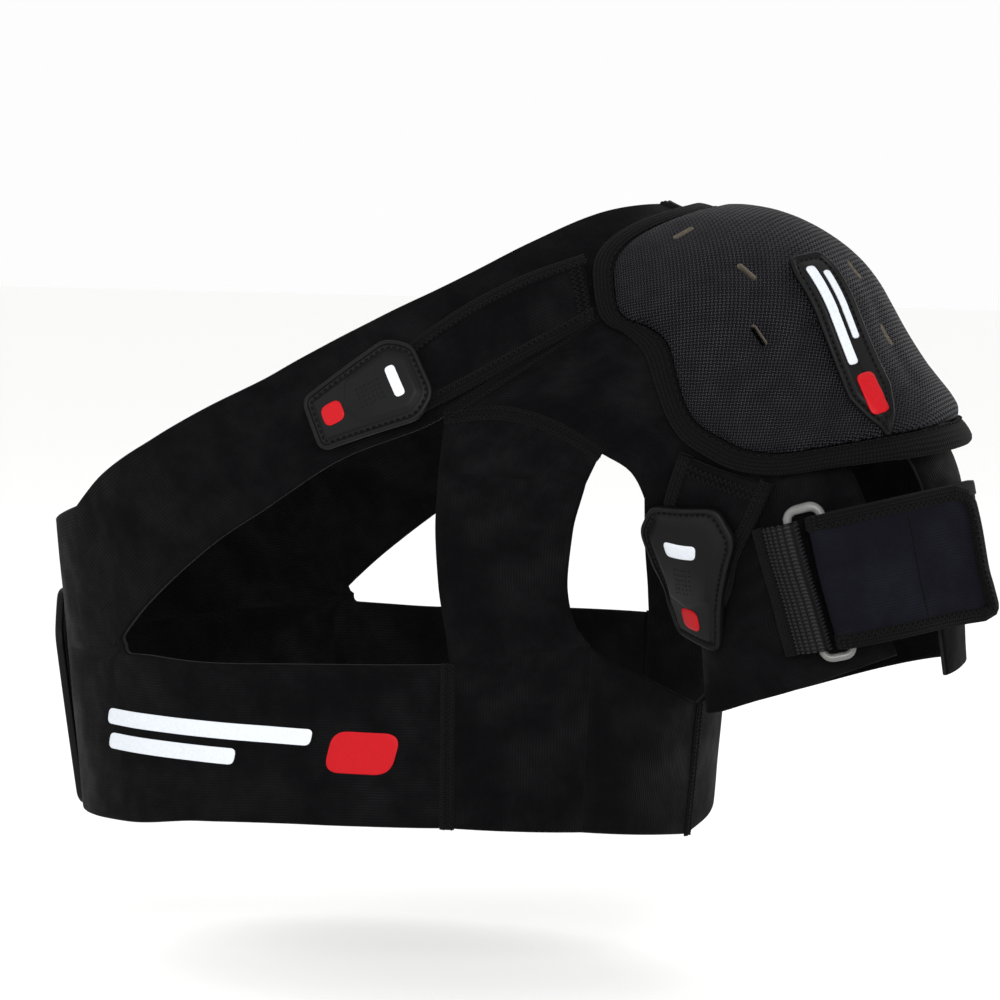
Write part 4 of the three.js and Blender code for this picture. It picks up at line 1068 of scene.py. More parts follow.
def ripple(point):
    """The slight unevenness of stretched cloth, in millimetres."""
    x, y, z = (point / 10).T
    long = np.sin(0.9 * x + 0.5 * z + 1.3 * np.sin(0.31 * y)) * np.sin(0.42 * z - 0.36 * x + 0.8)
    short = np.sin(1.9 * x - 1.1 * y + 0.7 * z) * np.sin(1.3 * z + 0.9 * y)
    return 0.22 * long + 0.1 * short


def declare(thing, node, flat, filled=None):
    """Hides the solid that a sheet of cloth stands for; the sheet itself is not used. The flat size
    that it is cut from and the share of that which it fills are worked out but not kept."""
    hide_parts(node)
    size = [side * MM for side in flat]
    area = None if filled is None else filled * flat[0] * flat[1] * MM * MM


SEAM_SECTION = [
    (-3.3, 0.02), (-3.0, 0.4), (-1.6, 0.58), (0, 0.42), (1.6, 0.58), (3.0, 0.4), (3.3, 0.02),
    (2.6, -0.5), (-2.6, -0.5),
]


def covered_seam(name, line):
    """A flat seam: a low ridge of cover stitching with two rows of zigzag on it."""
    line = resample(line, 1.5)
    raised = Skin(line.raised(NEOPRENE), line.out)
    wrap(name + "_cover", raised, beside_line(raised), SEAM_SECTION, SEAM_TAPE)
    rows = [zigzag(raised, 0.55, 1.7, 2.0, shift) for shift in (-1.7, 1.7)]
    sew(name + "_thread", rows, YARN)


NAMES = {1: "front", -1: "rear"}


def neoprene_cloth(name, node, grids, flat, filled):
    declare(sheet(name, grids, CLOTH, swell=ripple), node, flat, filled)


def half_brace(side):
    """The harness, side panel and sleeve of one side, and the seams that join them."""
    place = NAMES[side]
    web, wall, tube = harness(side), panel(side), sleeve(side)
    neoprene_cloth(
        f"chest_harness_{place}", f"harness_{place}", [web.strap, web.band, web.upper, web.lower],
        (450, 330), 0.335,
    )
    neoprene_cloth(
        f"chest_panel_{place}", f"side_panel_{place}",
        [wall.upper, wall.middle, wall.lower, wall.wing], (140, 200), 0.6,
    )
    neoprene_cloth(
        f"arm_sleeve_{place}", f"sleeve_{place}", tube,
        *(((190, 200), 0.64) if side > 0 else ((230, 200), 0.83)),
    )
    covered_seam(f"panel_top_seam_{place}", wall.upper[0])
    covered_seam(f"band_seam_{place}", wall.lower[:, 0])
    sewn_share = SLEEVE_EDGE["angle"][0] / STRAP_EDGES["angle"][-1]
    sewn_cells = round(len(web.strap.point) * sewn_share)
    covered_seam(f"shoulder_seam_{place}", web.strap[:sewn_cells, -1])
    if side > 0:
        covered_seam("shoulder_top_seam", web.strap[0])
        covered_seam("sleeve_underarm_seam", tube[0][-len(HEM_DOWN) :, 0])
        covered_seam("left_underarm_seam", wall.wing[:, -1])
        covered_seam("right_side_seam", end_to_end(web.upper[-1], web.lower[-1, 1:]))


for side in NAMES:
    half_brace(side)


# The cap and its straps.


def on_cap(station, angle):
    found = on_hoop(station, np.asarray(angle) + CAP_TURN)
    flare = CAP_FLARE * smooth(np.asarray(station), 0.32, 0.64)
    lift = LAYER + flare * (1 - smooth(np.abs(angle), 24, 42))
    return Skin(found.raised(lift), found.out)


def cap_place(x, y, height):
    return on_cap(CAP_CENTRE_STATION + x / HOOP_LENGTH, -np.degrees(y / CAP_ROUND)).raised(height)


def cap_outline(spacing):
    """The cap's whole outline in millimetres round its centre: x down the arm, y to the back."""
    x = (CAP_OUTLINE["station"] - CAP_CENTRE_STATION) * HOOP_LENGTH
    y = -np.radians(CAP_OUTLINE["angle"]) * CAP_ROUND
    front = np.stack([x, y], -1)
    back = front[1:-1][::-1] * (1, -1)
    knots = np.concatenate([front, back])
    t = np.linspace(0, 1, 12, endpoint=False)[:, None]
    spots = []
    for i in range(len(knots)):
        a, b, c, d = (knots[(i + k) % len(knots)] for k in (-1, 0, 1, 2))
        bend = 2 * a - 5 * b + 4 * c - d + t * (3 * (b - c) + d - a)
        spots.append(b + 0.5 * t * (c - a + t * bend))
    return evenly(np.concatenate(spots), spacing)


CAP_STEP = 2.6
CAP_EDGE = cap_outline(CAP_STEP)
CAP_REACH = np.linalg.norm(CAP_EDGE, axis=1)
PAD_EDGE = CAP_RIM_WIDTH + 0.4
PAD_SECTION = table(
    "inset rise", (0, 0.4), (1.2, 0.56), (3.5, 0.73), (11, 0.91), (22, 1), (80, 1.02)
)


def pad_height(inset):
    return CAP_THICKNESS * read(PAD_SECTION, "inset", inset).rise


def inset_of(x, y):
    """How far a place of the cap's layout lies in from the pad's edge, on the way to its centre."""
    bearing = np.arctan2(y, x)
    order = np.argsort(np.arctan2(CAP_EDGE[:, 1], CAP_EDGE[:, 0]))
    known = np.arctan2(CAP_EDGE[order, 1], CAP_EDGE[order, 0])
    edge = np.interp(bearing, known, CAP_REACH[order], period=2 * np.pi)
    return np.maximum(edge - PAD_EDGE - np.hypot(x, y), 0)


SLOT_DIP = 0.9
SLOT_DIP_SPREAD = 70    # square millimetres
CREASE_DEPTH = 0.7
CREASE_WIDTH = 3.2
CREASE_RUN_ON = 0.9     # how far a crease runs on past its second slot, as a share of its run


def pad_relief(x, y):
    """The pad's top: crowned, a little uneven, drawn in round each slot and creased between slots
    that lie in line."""
    height = pad_height(inset_of(x, y))
    height = height + 0.25 * np.sin(x / 17 + 1) * np.sin(y / 13) + 0.12 * np.sin((x + y) / 6)
    slots = np.stack([
        (CAP_SLOTS["station"] - CAP_CENTRE_STATION) * HOOP_LENGTH,
        -np.radians(CAP_SLOTS["angle"]) * CAP_ROUND,
    ], -1)
    spots = np.stack([x, y], -1)
    for spot in slots:
        height = height - SLOT_DIP * np.exp(-((spots - spot) ** 2).sum(-1) / SLOT_DIP_SPREAD)
    for first, last in ((1, 2), (3, 4)):
        run = slots[last] - slots[first]
        crease = np.array([slots[first], slots[last] + CREASE_RUN_ON * run])
        beside = away_from_edge(spots, crease) / CREASE_WIDTH
        height = height - CREASE_DEPTH * np.exp(-(beside**2))
    return height


def slot_cutter(name, station, angle, lengthwise):
    """A round-ended bar that cuts one vent slot."""
    spot = on_cap(np.array([station]), np.array([angle]))[0]
    ahead = on_cap(np.array([station + 0.05]), np.array([angle])).point[0] - spot.point
    if not lengthwise:
        ahead = on_cap(np.array([station]), np.array([angle + 5.0])).point[0] - spot.point
    along = unit(ahead - ahead @ spot.out * spot.out)
    across = np.cross(spot.out, along)
    turn = np.linspace(-np.pi / 2, np.pi / 2, 9)
    half_round = np.stack([np.cos(turn), np.sin(turn)], -1) * SLOT_WIDTH / 2
    half_long = (SLOT_LENGTH - SLOT_WIDTH) / 2
    ring = np.concatenate([half_round + (half_long, 0), -half_round - (half_long, 0)])
    points = np.concatenate([
        spot.point + ring[:, :1] * along + ring[:, 1:] * across + height * spot.out
        for height in (-3.0, 2.5 * CAP_THICKNESS)
    ])
    n = len(ring)
    faces = [*quads_of(2, n, closed=True), np.arange(n)[::-1], n + np.arange(n)]
    cutter = piece(name, points, faces, [MESH, SLOT_FOAM], finish=[1] * len(faces))
    right_way_out(cutter)
    return cutter


def cap_pad():
    """The cushion: rings from the middle of its underside over its edge to the middle of its top,
    each with its share of the outline, its inset, and its height where that isn't the relief's."""
    rings = [(share, 0, 0.0) for share in np.linspace(0.08, 1, 12)]
    insets = np.concatenate([np.linspace(0, 4, 7), np.linspace(5.5, 22, 10)])
    rings += [(1.0, inset, None) for inset in insets]
    rings += [(share, insets[-1], None) for share in np.linspace(1, 0, 20)[1:-1]]
    flat, height = [np.zeros((1, 2))], [np.zeros(1)]
    for share, inset, level in rings:
        ring = unit(CAP_EDGE) * np.maximum(CAP_REACH - PAD_EDGE - inset, 0)[:, None] * share
        flat.append(ring)
        height.append(np.full(len(ring), level) if level is not None else pad_relief(*ring.T))
    flat.append(np.zeros((1, 2)))
    height.append(pad_relief(*flat[-1].T))
    flat, height = np.concatenate(flat), np.concatenate(height)
    points = cap_place(flat[:, 0], flat[:, 1], height)
    faces = domed_faces(len(rings), len(CAP_EDGE))
    pad = piece("cap_cushion", points, faces, [MESH, SLOT_FOAM], flat)
    right_way_out(pad)
    for i, slot in enumerate(zip(*CAP_SLOTS.values())):
        cutter = slot_cutter(f"slot_{i}", *slot)
        cut = pad.modifiers.new("slot", "BOOLEAN")
        cut.operation, cut.solver, cut.object = "DIFFERENCE", "MANIFOLD", cutter
        with bpy.context.temp_override(object=pad):
            bpy.ops.object.modifier_apply(modifier=cut.name)
        bpy.data.objects.remove(cutter)
    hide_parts("cap_pad")


RIM_SECTION = [
    (9.0, 0.5), (5, 0.1), (1.6, 0.1), (0.4, 0.9), (0, 2), (0.4, 3.1), (1.5, 3.9), (3.2, 4.15),
    (5.4, 4.2), (7.2, 4.0), (8.4, 3.4), (9.0, 2.4),
]


def cap_line(inset, height):
    """A closed line round the cap, with its way out."""
    ring = unit(CAP_EDGE) * (CAP_REACH - inset)[:, None]
    low, high = (cap_place(ring[:, 0], ring[:, 1], h) for h in (height, height + 1))
    line = Skin(low, high - low)
    return end_to_end(line, line[:1])


def cap_rim():
    places = [cap_line(inset, height).point[:-1] for inset, height in RIM_SECTION]
    points = np.stack(places, 1)
    n, m = points.shape[:2]
    maps = np.stack(np.meshgrid(lengths_along(RIM_SECTION), np.arange(n) * CAP_STEP), -1)
    rim = piece("cap_binding", points.reshape(-1, 3), hoop_faces(n, m), TAPE, maps.reshape(-1, 2))
    right_way_out(rim)
    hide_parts("cap_rim")


cap_pad()
cap_rim()
sew("cap_edge_stitching", [running(cap_line(7.9, 4.05), 0, 3.6, 1.1)], YARN)


def binding_section(thickness, width=BINDING_WIDTH, proud=BINDING_PROUD):
    top = thickness + proud
    return [
        (width, 0.4), (width - 0.4, -proud * 0.8), (1, -proud), (-0.5, -0.3), (-0.9, thickness / 2),
        (-0.5, thickness + 0.2), (0.9, top), (width / 2, top + 0.1), (width - 0.9, top),
        (width, thickness + 0.1), (width, thickness - 0.4),
    ]


def bound_edge(name, line, inward, thickness, width=BINDING_WIDTH):
    """Binding tape folded over an edge of cloth, and the zigzag that holds it."""
    tape = wrap(name + "_tape", line, inward, binding_section(thickness, width), TAPE)
    sign = 1 if (inward * beside_line(line)).sum() > 0 else -1
    rows = [zigzag(line, thickness + BINDING_PROUD, 2.4, 2.6, sign * (width - 1.6))]
    return tape, sew(name + "_zigzag", rows, YARN)


def cap_strap(side, which, edge_rows, length, flat):
    """A strap from the cap to its tab, bound along both edges and sewn on under the cap."""
    place = NAMES[side]
    name = f"cap_{which}_strap_{place}"
    edges = read(edge_rows, "along", spread(0, 1, length)[:, None])
    shift = 0 if side > 0 else 2 * CAP_TURN * (1 - edges.along)
    share = spread(0, 1, length=45)
    skin = hoop_side(
        side,
        lerp(edges.near_station, edges.far_station, share),
        lerp(edges.near_angle, edges.far_angle, share) - shift,
    )
    cloth = sheet(name, [skin], CLOTH, lift=LAYER)
    trims = []
    for edge, near, beside in (("near", 0, 1), ("far", -1, -2)):
        line = Skin(skin[:, near].raised(LAYER), skin.out[:, near])
        inward = unit(skin.point[:, beside] - skin.point[:, near])
        trims += bound_edge(f"{name}_{edge}", line, inward, NEOPRENE)
    joined = skin[3]
    line = Skin(joined.raised(LAYER + NEOPRENE), joined.out)
    rows = [zigzag(line, 0.15, 2.6, 2.4, aside) for aside in (-1.7, 1.7)]
    trims.append(sew(f"{name}_join_zigzag", rows, YARN))
    declare(cloth, f"cap_strap_{which}_{place}", flat)


for side in NAMES:
    cap_strap(side, "upper", UPPER_STRAP, 150, (30, 137 if side > 0 else 148))
    cap_strap(side, "lower", LOWER_STRAP, 62, (38, 70 if side > 0 else 86))


# The moulded rubber tabs and the patch.


def tab_outline(length, width, spacing=1.3):
    half = width / 2
    upper = [
        (length, 0.5 * half), (0.96 * length, 0.66 * half), (0.5 * length, 0.87 * half),
        (0.2 * length, half), (0, 0.6 * half),
    ]
    lower = [(x, -y) for x, y in reversed(upper)]
    corners = np.array(lower + upper) - (length / 2, 0)
    return rounded_outline(corners, 5, spacing)


def bead_section(rim, floor, width):
    """A rounded rim of a given height and width round a lower floor."""
    return [
        (0.7, 0), (0.1, 0.4), (0, 1.0), (0, rim - 1.0), (0.15, rim - 0.45), (0.55, rim - 0.1),
        (1.0, rim), (width - 1.0, rim), (width - 0.5, rim - 0.15), (width - 0.15, rim - 0.6),
        (width, floor + 0.25), (width + 0.3, floor), (width + 1.2, floor),
    ]


def tab_relief(length, width, thickness, floor):
    """A stitched groove, a low shoulder, and a raised field that ends in a point before the tip."""

    def relief(ring, inset):
        x, y = ring[..., 0], ring[..., 1]
        share = np.clip((x + length / 2) / length, 0, 1)
        pointed = (0.7 - share) * length - 0.5 * np.abs(y)
        field = smooth(np.minimum(inset - 6.4, pointed), -0.04 * width, 0.03 * width)
        shoulder = smooth(inset, 3.6, 5.2)
        dome = 1 - (2 * y / width) ** 2
        return floor + (thickness - floor) * shoulder * (0.3 + 0.5 * field + 0.2 * dome)

    return relief


def flat_top(thickness):
    """The relief of a level face."""
    return lambda ring, inset: np.full(len(ring), float(thickness))


def top_of(relief, outline):
    """The height of a plate's face at any place."""

    def height(x, y):
        ring = np.stack([x, y], -1)
        return relief(ring, away_from_edge(ring, outline))

    return height


def stitched_groove(name, outline, lay, inset, floor, radius):
    """Thread sewn in the groove inside a moulded rim."""
    groove = outline + inward_of(outline) * inset
    groove = np.concatenate([groove, groove[:1]])
    low, high = (lay(groove[:, 0], groove[:, 1], floor + h) for h in (0.0, 1.0))
    sew(name, [running(Skin(low, high - low), 0.05, 2.9, 1.0)], YARN, radius)


def marks(name, outline, lay, height, material, thickness=0.3):
    """A thin raised mark."""
    section = [(0.1, -0.3), (0, 0), (0, thickness * 0.7), (0.15, thickness)]

    def on_face(x, y, h):
        return lay(x, y, height(x, y) + h)

    plate(name, outline, on_face, section, flat_top(thickness), material, 2.0)


def bar_outline(x, y, length, width, slant=0.0, spacing=0.9):
    corners = np.array([
        (-length / 2, -width / 2), (length / 2, -width / 2), (length / 2, width / 2),
        (-length / 2, width / 2),
    ])
    corners[:, 0] += slant * corners[:, 1]
    return rounded_outline(corners + (x, y), min(length, width) * 0.38, spacing)


def moulded_tab(name, length, width, thickness, lay, node, dot, rows):
    """A tab with a stitched rim, a field of dots, a white bar and a red square."""
    rim, floor = 0.8 * thickness, 0.52 * thickness
    relief = tab_relief(length, width, thickness, floor)
    outline = tab_outline(length, width)
    body = plate(name, outline, lay, bead_section(rim, floor, 2.1), relief, RUBBER, 0.8)
    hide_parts(node)
    stitched_groove(name + "_stitching", outline, lay, 3.0, floor, 0.3)
    face = top_of(relief, outline)

    def on_face(x, y, h):
        return lay(x, y, face(x, y) + h)

    step = 0.037 * length
    grid = np.meshgrid((np.arange(rows) - rows / 2 + 0.5) * step, (np.arange(5) - 2) * step)
    x, y = (v.ravel() for v in grid)
    domes(name + "_dots", x - 0.03 * length, y, dot, on_face, RUBBER)
    bar = bar_outline(-0.25 * length, 0, 0.085 * length, 0.36 * width)
    marks(name + "_white_bar", bar, lay, face, WHITE)
    square = bar_outline(0.3 * length, 0, 0.17 * length, 0.17 * length)
    marks(name + "_red_dot", square, lay, face, RED)


# A dot's rings and tip, as shares of its radius.
DOT_REACH = np.array([1, 1, 0.7])
DOT_RISE = np.array([-0.25, 0.1, 0.45])
DOT_TIP = 0.55
DOT_SIDES = 8


def domes(name, x, y, radius, lay, material):
    """A field of low round dots."""
    turn = np.linspace(0, 2 * np.pi, DOT_SIDES, endpoint=False)
    out = radius * DOT_REACH[:, None]
    across = x[:, None, None] + out * np.cos(turn)
    along = y[:, None, None] + out * np.sin(turn)
    up = radius * DOT_RISE[:, None] + 0 * across
    rings = lay(across.ravel(), along.ravel(), up.ravel()).reshape(len(x), -1, 3)
    tip = lay(x, y, np.full(len(x), DOT_TIP * radius))
    points = np.concatenate([rings, tip[:, None]], 1)
    rows, m = len(DOT_REACH), DOT_SIDES
    last = (rows - 1) * m
    one = [*quads_of(rows, m, closed=True)]
    one += [[last + i, last + (i + 1) % m, rows * m] for i in range(m)]
    one.append(np.arange(m)[::-1])
    faces = [np.asarray(face) + i * (rows * m + 1) for i in range(len(x)) for face in one]
    right_way_out(piece(name, points.reshape(-1, 3), faces, material))


TAB_STIFFNESS = 0.5


def stiff(lay, lift):
    """A place laid on a skin, but bent less than the skin is, as moulded rubber is."""
    spots = lay(np.array([0.0, 1, 0]), np.array([0.0, 0, 1]), np.full(3, float(lift)))
    along = unit(spots[1] - spots[0])
    out = unit(np.cross(along, spots[2] - spots[0]))
    across = np.cross(out, along)

    def place(x, y, height):
        x, y, height = (np.asarray(v, float)[..., None] for v in (x, y, height))
        level = spots[0] + x * along + y * across + height * out
        return lerp(lay(x[..., 0], y[..., 0], lift + height[..., 0]), level, TAB_STIFFNESS)

    return place


def cap_tab(side, name, spot, size, shift):
    """A tab on the harness, a share of the full size and shifted towards its narrow end."""

    def on_front(station, angle):
        return hoop_side(side, station, angle)

    flat = stiff(laid_on(on_front, spot.centre, spot.ahead, (0.02, 2)), OVER_STRAP)
    moulded_tab(
        f"{name}_rubber_tab_{NAMES[side]}", TAB_LENGTH * size, TAB_WIDTH * size, TAB_THICKNESS,
        lambda x, y, h: flat(x + shift, y, h), f"tab_{name}_{NAMES[side]}", 0.55, 6,
    )


for side in NAMES:
    cap_tab(side, "upper", UPPER_TAB, size=0.9, shift=4.0)
    cap_tab(side, "lower", LOWER_TAB, size=1.14, shift=-2.0)

on_side = laid_on(on_chest, (SIDE_TAB_TURN, BAND_DROP * SIDE_TAB_DROP), (0, 1), (2, 4))
side_lift = LAYER + BELT_END_THICKNESS + LAYER_GAP
moulded_tab(
    "side_rubber_tab", SIDE_TAB_HEIGHT, SIDE_TAB_WIDTH, SIDE_TAB_THICKNESS,
    lambda x, y, h: on_side(x, y, side_lift + h), "tab_side", 0.8, 8,
)


def belt_end():
    outline = tab_outline(SIDE_TAB_HEIGHT + BELT_END_MARGIN, SIDE_TAB_WIDTH + BELT_END_MARGIN, 1.6)
    thickness = BELT_END_THICKNESS
    section = [(0.5, 0), (0, 0.5), (0, thickness - 0.5), (0.5, thickness)]

    def lay(x, y, h):
        return on_side(x, y, LAYER + h)

    end = plate("belt_flap", outline, lay, section, flat_top(thickness), JERSEY, 3.0)
    declare(end, "belt_end", (64, 110), 0.88)


belt_end()


PRINT_SLANT = 0.25
PRINT_THICKNESS = 0.25


def chest_mark():
    """Plain bars printed on the chest band."""
    lay = laid_on(on_chest, (-9.0, 0.83 * BAND_DROP), (1, 0), (2, 4))

    def on_band(x, y, h):
        skin = on_chest(*lay.measures(x, y))
        return skin.raised(NEOPRENE + ripple(skin.point) + h)

    def level(x, y):
        return 0 * x

    for name, x, y, length, width, material in (
        ("white_bar_long", -17, 5.8, 112, 7.6, WHITE),
        ("white_bar_short", -37, -5.8, 72, 7.6, WHITE),
        ("red_bar", 62, 0, 30, 19.2, RED),
    ):
        outline = bar_outline(x, y, length, width, PRINT_SLANT)
        marks(f"chest_{name}", outline, on_band, level, material, PRINT_THICKNESS)


chest_mark()


def cap_patch():
    long, half = PATCH_LENGTH, PATCH_WIDTH / 2
    upper = [
        (long, 0), (0.88 * long, half * 0.6), (0.72 * long, half), (0.08 * long, half),
        (0, half * 0.75),
    ]
    lower = [(x, -y) for x, y in reversed(upper[1:])]
    outline = rounded_outline(np.array(lower + upper) - (long / 2, 0), 3, 1.2)
    lay = laid_on(on_cap, (PATCH_STATION, PATCH_ANGLE), (PATCH_RUN, PATCH_TURN), (0.02, 2))

    def on_pad(x, y, h):
        station, angle = lay.measures(x, y)
        px, py = (station - CAP_CENTRE_STATION) * HOOP_LENGTH, -np.radians(angle) * CAP_ROUND
        return lay(x, y, pad_height(inset_of(px, py)) + 0.25 + h)

    floor = 0.55 * PATCH_THICKNESS

    def relief(ring, inset):
        return floor + 0.25 * PATCH_THICKNESS * smooth(inset, 3.6, 4.6)

    section = bead_section(PATCH_THICKNESS + 0.2, floor, 1.9)
    body = plate("cap_rubber_patch", outline, on_pad, section, relief, RUBBER, 0.8)
    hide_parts("cap_patch")
    stitched_groove("cap_patch_stitching", outline, on_pad, 2.6, floor, 0.28)
    face = top_of(relief, outline)
    for name, x, y, length, width, material in (
        ("white_bar_long", -17, -2.6, 44, 4.2, WHITE),
        ("white_bar_short", -21, 3.2, 30, 3.0, WHITE),
        ("red_bar", 22, 0, 24, 8.0, RED),
    ):
        marks(f"cap_patch_{name}", bar_outline(x, y, length, width), on_pad, face, material, 0.7)


cap_patch()


# The arm strap, its webbing and its loop.


def arm_place(along, round_it, height):
    return on_arm(along, LOOP_ANGLE + np.degrees(round_it / ARM_ROUND)).raised(height)


BAR_OFFSET = LOOP_WIDTH / 2 - LOOP_BAR_RADIUS
BAR_CLEAR = LOOP_BAR_RADIUS + 0.8
BAR_HEIGHT = LAYER + ARM_STRAP + BAR_CLEAR
BAR_TOP = BAR_HEIGHT + BAR_CLEAR


def round_of(angle):
    return math.radians(angle - LOOP_ANGLE) * ARM_ROUND


def turn_round(bar, way):
    lean = np.linspace(0, 180, 15)
    return [
        (
            bar + way * BAR_CLEAR * math.sin(math.radians(t)),
            BAR_HEIGHT + BAR_CLEAR * math.cos(math.radians(t)), way * t, 0,
        )
        for t in lean
    ]


def level_path(round_it):
    return 0 * round_it


def ribbon(path, width, thickness, cells_across, cell, corner=0.0, rise=level_path):
    """The inner skin of a ribbon along a path of (round, height, lean, slant), with a start that
    has round corners. Its rise comes on top of the height at each place round the arm."""
    path = np.array(path, float)
    far = np.append(0, np.cumsum(np.linalg.norm(np.diff(path[:, :2], axis=0), axis=1)))
    far = far + np.append(0, np.cumsum(np.abs(np.radians(np.diff(path[:, 2]))) * thickness / 2))
    along = np.linspace(-width / 2, width / 2, cells_across + 1)
    over = np.maximum(np.abs(along) - (width / 2 - corner), 0)
    start = corner - np.sqrt(np.maximum(corner**2 - over**2, 0))
    share = np.linspace(0, 1, round(far[-1] / cell) + 1)[:, None]
    at = start + (far[-1] - start) * share
    round_it, height, lean, slant = (np.interp(at, far, path[:, k]) for k in range(4))
    lean = np.radians(lean)
    along = np.broadcast_to(along, at.shape)
    round_it = round_it - slant * along
    height = height + rise(round_it) * (lean == 0)
    inner = arm_place(along, round_it, height)
    outer = arm_place(along, round_it + np.sin(lean) * thickness, height + np.cos(lean) * thickness)
    return Skin(inner, unit(outer - inner))


def arm_webbing():
    start = round_of(WEBBING_ANGLE)
    path = [
        (start, LAYER, 0, 0),
        (lerp(start, BAR_OFFSET, 0.35), lerp(LAYER, BAR_TOP, 0.35), 0, 0),
        (lerp(start, BAR_OFFSET, 0.7), lerp(LAYER, BAR_TOP, 0.8), 0, 0),
        *turn_round(BAR_OFFSET, -1),
    ]
    skin = ribbon(path[::-1], WEBBING_WIDTH, WEBBING, 130, 0.45)
    flat = cut_map(skin.point)
    lean = 1 - np.abs(flat[..., 1] / KNIT_COLUMN % 1 - 0.5) * 2
    chain = 0.5 - 0.5 * np.cos(2 * np.pi * (flat[..., 0] / KNIT_COURSE + KNIT_SLANT * lean))
    knit = (0.3 + 0.7 * chain) * smooth(lean, 0.1, 0.6)
    cloth = sheet(
        "loop_webbing", [skin], [ELASTIC, ELASTIC], thickness=WEBBING - 0.5,
        face=KNIT_RELIEF * knit,
    )
    edge = skin[-1]
    inward = unit(skin.point[-8] - skin.point[-1])
    trims = bound_edge("webbing_sewn_end", edge, inward, WEBBING, 7.0)
    sign = 1 if (inward * beside_line(edge)).sum() > 0 else -1
    row = zigzag(edge, WEBBING + BINDING_PROUD, 2.4, 2.6, sign * 1.8)
    trims += (sew("webbing_outer_zigzag", [row], YARN),)
    declare(cloth, "arm_webbing", (58, 40))


def arm_loop():
    long = LOOP_LENGTH / 2 - LOOP_BAR_RADIUS
    corners = [(-long, -BAR_OFFSET), (long, -BAR_OFFSET), (long, BAR_OFFSET), (-long, BAR_OFFSET)]
    line = rounded_outline(corners, LOOP_CORNER, 1.0)
    ahead = unit(np.roll(line, -1, 0) - np.roll(line, 1, 0))
    turn = np.linspace(0, 2 * np.pi, 18, endpoint=False)
    out = LOOP_BAR_RADIUS * np.cos(turn)
    x = line[:, :1] + ahead[:, 1:] * out
    y = line[:, 1:] - ahead[:, :1] * out
    height = BAR_HEIGHT - LOOP_BAR_RADIUS * np.sin(turn) + 0 * x
    points = arm_place(x, y, height).reshape(-1, 3)
    loop = piece("strap_loop", points, hoop_faces(*x.shape), ACETAL)
    right_way_out(loop)
    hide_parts("arm_loop")


def arm_strap():
    end, anchor, bar = round_of(STRAP_END_ANGLE), round_of(STRAP_ANCHOR_ANGLE), -BAR_OFFSET
    share = np.linspace(0, 1, 40)[:-1]
    low = LAYER + ARM_STRAP + STRAP_END_RISE

    def flap_rise(round_it):
        past = np.maximum((round_of(STRAP_FLAT_ANGLE) - round_it) / ARM_ROUND, 0)
        return (ARM_ROUND + low) * (1 / np.cos(past) - 1)

    outer = list(zip(
        lerp(end, bar, share), lerp(low, BAR_TOP, smooth(share, 0.2, 0.9)), 0 * share,
        STRAP_END_SLANT * (1 - smooth(share, 0, 0.9)),
    ))
    inner = [(lerp(bar, anchor, s), LAYER + ARM_STRAP, 180, 0) for s in np.linspace(0, 1, 40)[1:]]
    path = [*outer, *turn_round(bar, 1), *inner]
    skin = ribbon(path, ARM_STRAP_WIDTH, ARM_STRAP, 26, 2.2, 7.0, flap_rise)

    def soft(point):
        return 0.25 * np.sin(point[:, 2] / 9) * np.sin(point[:, 1] / 11)

    cloth = sheet("arm_strap_cloth", [skin], [NAVY, FOAM_EDGE], thickness=ARM_STRAP, swell=soft)
    line = end_to_end(skin[::-1, 0], skin[0, 1:-1], skin[:, -1])
    inward = beside_line(line)
    if (inward[0] * (skin.point[-1, 1] - skin.point[-1, 0])).sum() < 0:
        inward = -inward
    trims = bound_edge("arm_strap_edge", line, inward, ARM_STRAP, 6.0)
    middle = skin[15, 3:-3]
    seam = Skin(middle.raised(ARM_STRAP + 0.05), middle.out)
    trims += (sew("arm_strap_cross_seam", [running(seam, 0, 1.8, 0.4)], YARN, 0.3),)
    declare(cloth, "arm_strap", (57, 278))


arm_webbing()
arm_loop()
arm_strap()


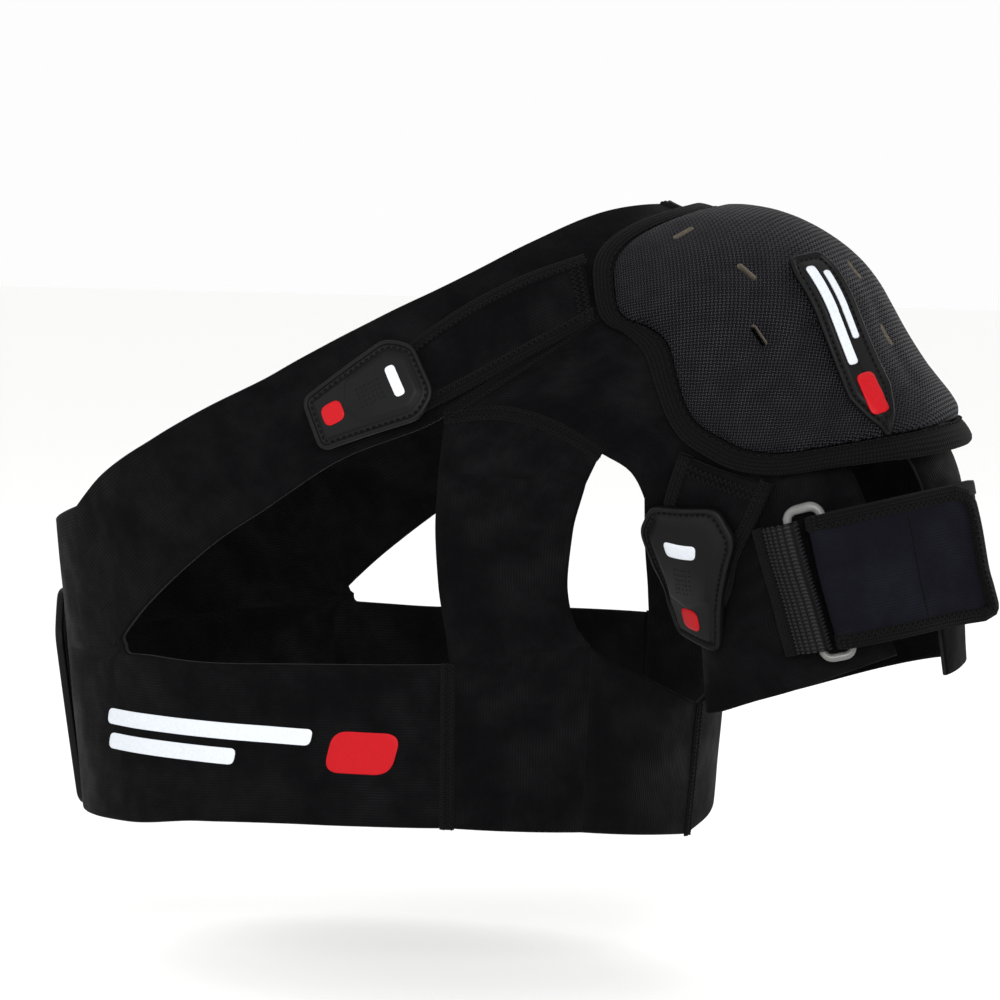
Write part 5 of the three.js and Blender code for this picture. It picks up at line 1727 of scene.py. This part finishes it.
# The stage: a pale floor, soft studio light, and the camera at the photograph's angle.

FLOOR_BELOW = 70


def studio():
    low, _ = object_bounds()
    bpy.ops.mesh.primitive_plane_add(size=12, location=(0, 0, low.z - FLOOR_BELOW * MM))
    floor = bpy.context.object
    floor.name = "studio_floor"
    floor.data.materials.append(
        Finish("pale_floor", 0.7, Base_Color=linear("#fbfbfa")).material
    )
    floor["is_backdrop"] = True
    world = bpy.data.worlds.new("studio")
    world.use_nodes = True
    sky = world.node_tree.nodes["Background"]
    sky.inputs["Color"].default_value = linear("#fdfdfd")
    sky.inputs["Strength"].default_value = 1.0
    bpy.context.scene.world = world
    target = Vector((-0.13, 0, -0.13))
    # Each lamp's place is in metres from the target.
    for name, place, size, power in (
        ("key", (1.1, -1.9, 0.7), 0.9, 36), ("fill", (-1.1, -1.6, 0.7), 1.2, 9),
        ("top", (0.3, 0.3, 1.5), 1.0, 3), ("rim", (0.7, 1.5, 0.6), 1.0, 4),
    ):
        lamp = bpy.data.lights.new(name, "AREA")
        lamp.size, lamp.energy = size, power
        thing = bpy.data.objects.new(name, lamp)
        thing.location = target + Vector(place)
        thing.rotation_euler = (-Vector(place)).to_track_quat("-Z", "Y").to_euler()
        bpy.context.scene.collection.objects.link(thing)


AZIMUTH = math.radians(27)
ELEVATION = math.radians(6)
CAMERA_DISTANCE = 2000
AIM = np.array([30.0, 0.0, -150.0])


def camera():
    lens = bpy.data.cameras.new("camera")
    lens.lens, lens.sensor_width = 153, 36
    lens.shift_x, lens.shift_y = 0.045, 0.04
    view = bpy.data.objects.new("camera", lens)
    back = Vector((
        math.sin(AZIMUTH) * math.cos(ELEVATION), -math.cos(AZIMUTH) * math.cos(ELEVATION),
        math.sin(ELEVATION),
    ))
    view.location = Vector((AIM - SEAT) * MM) + back * CAMERA_DISTANCE * MM
    view.rotation_euler = (-back).to_track_quat("-Z", "Y").to_euler()
    bpy.context.scene.collection.objects.link(view)
    bpy.context.scene.camera = view


studio()
camera()
bpy.context.scene.view_settings.view_transform = "Standard"
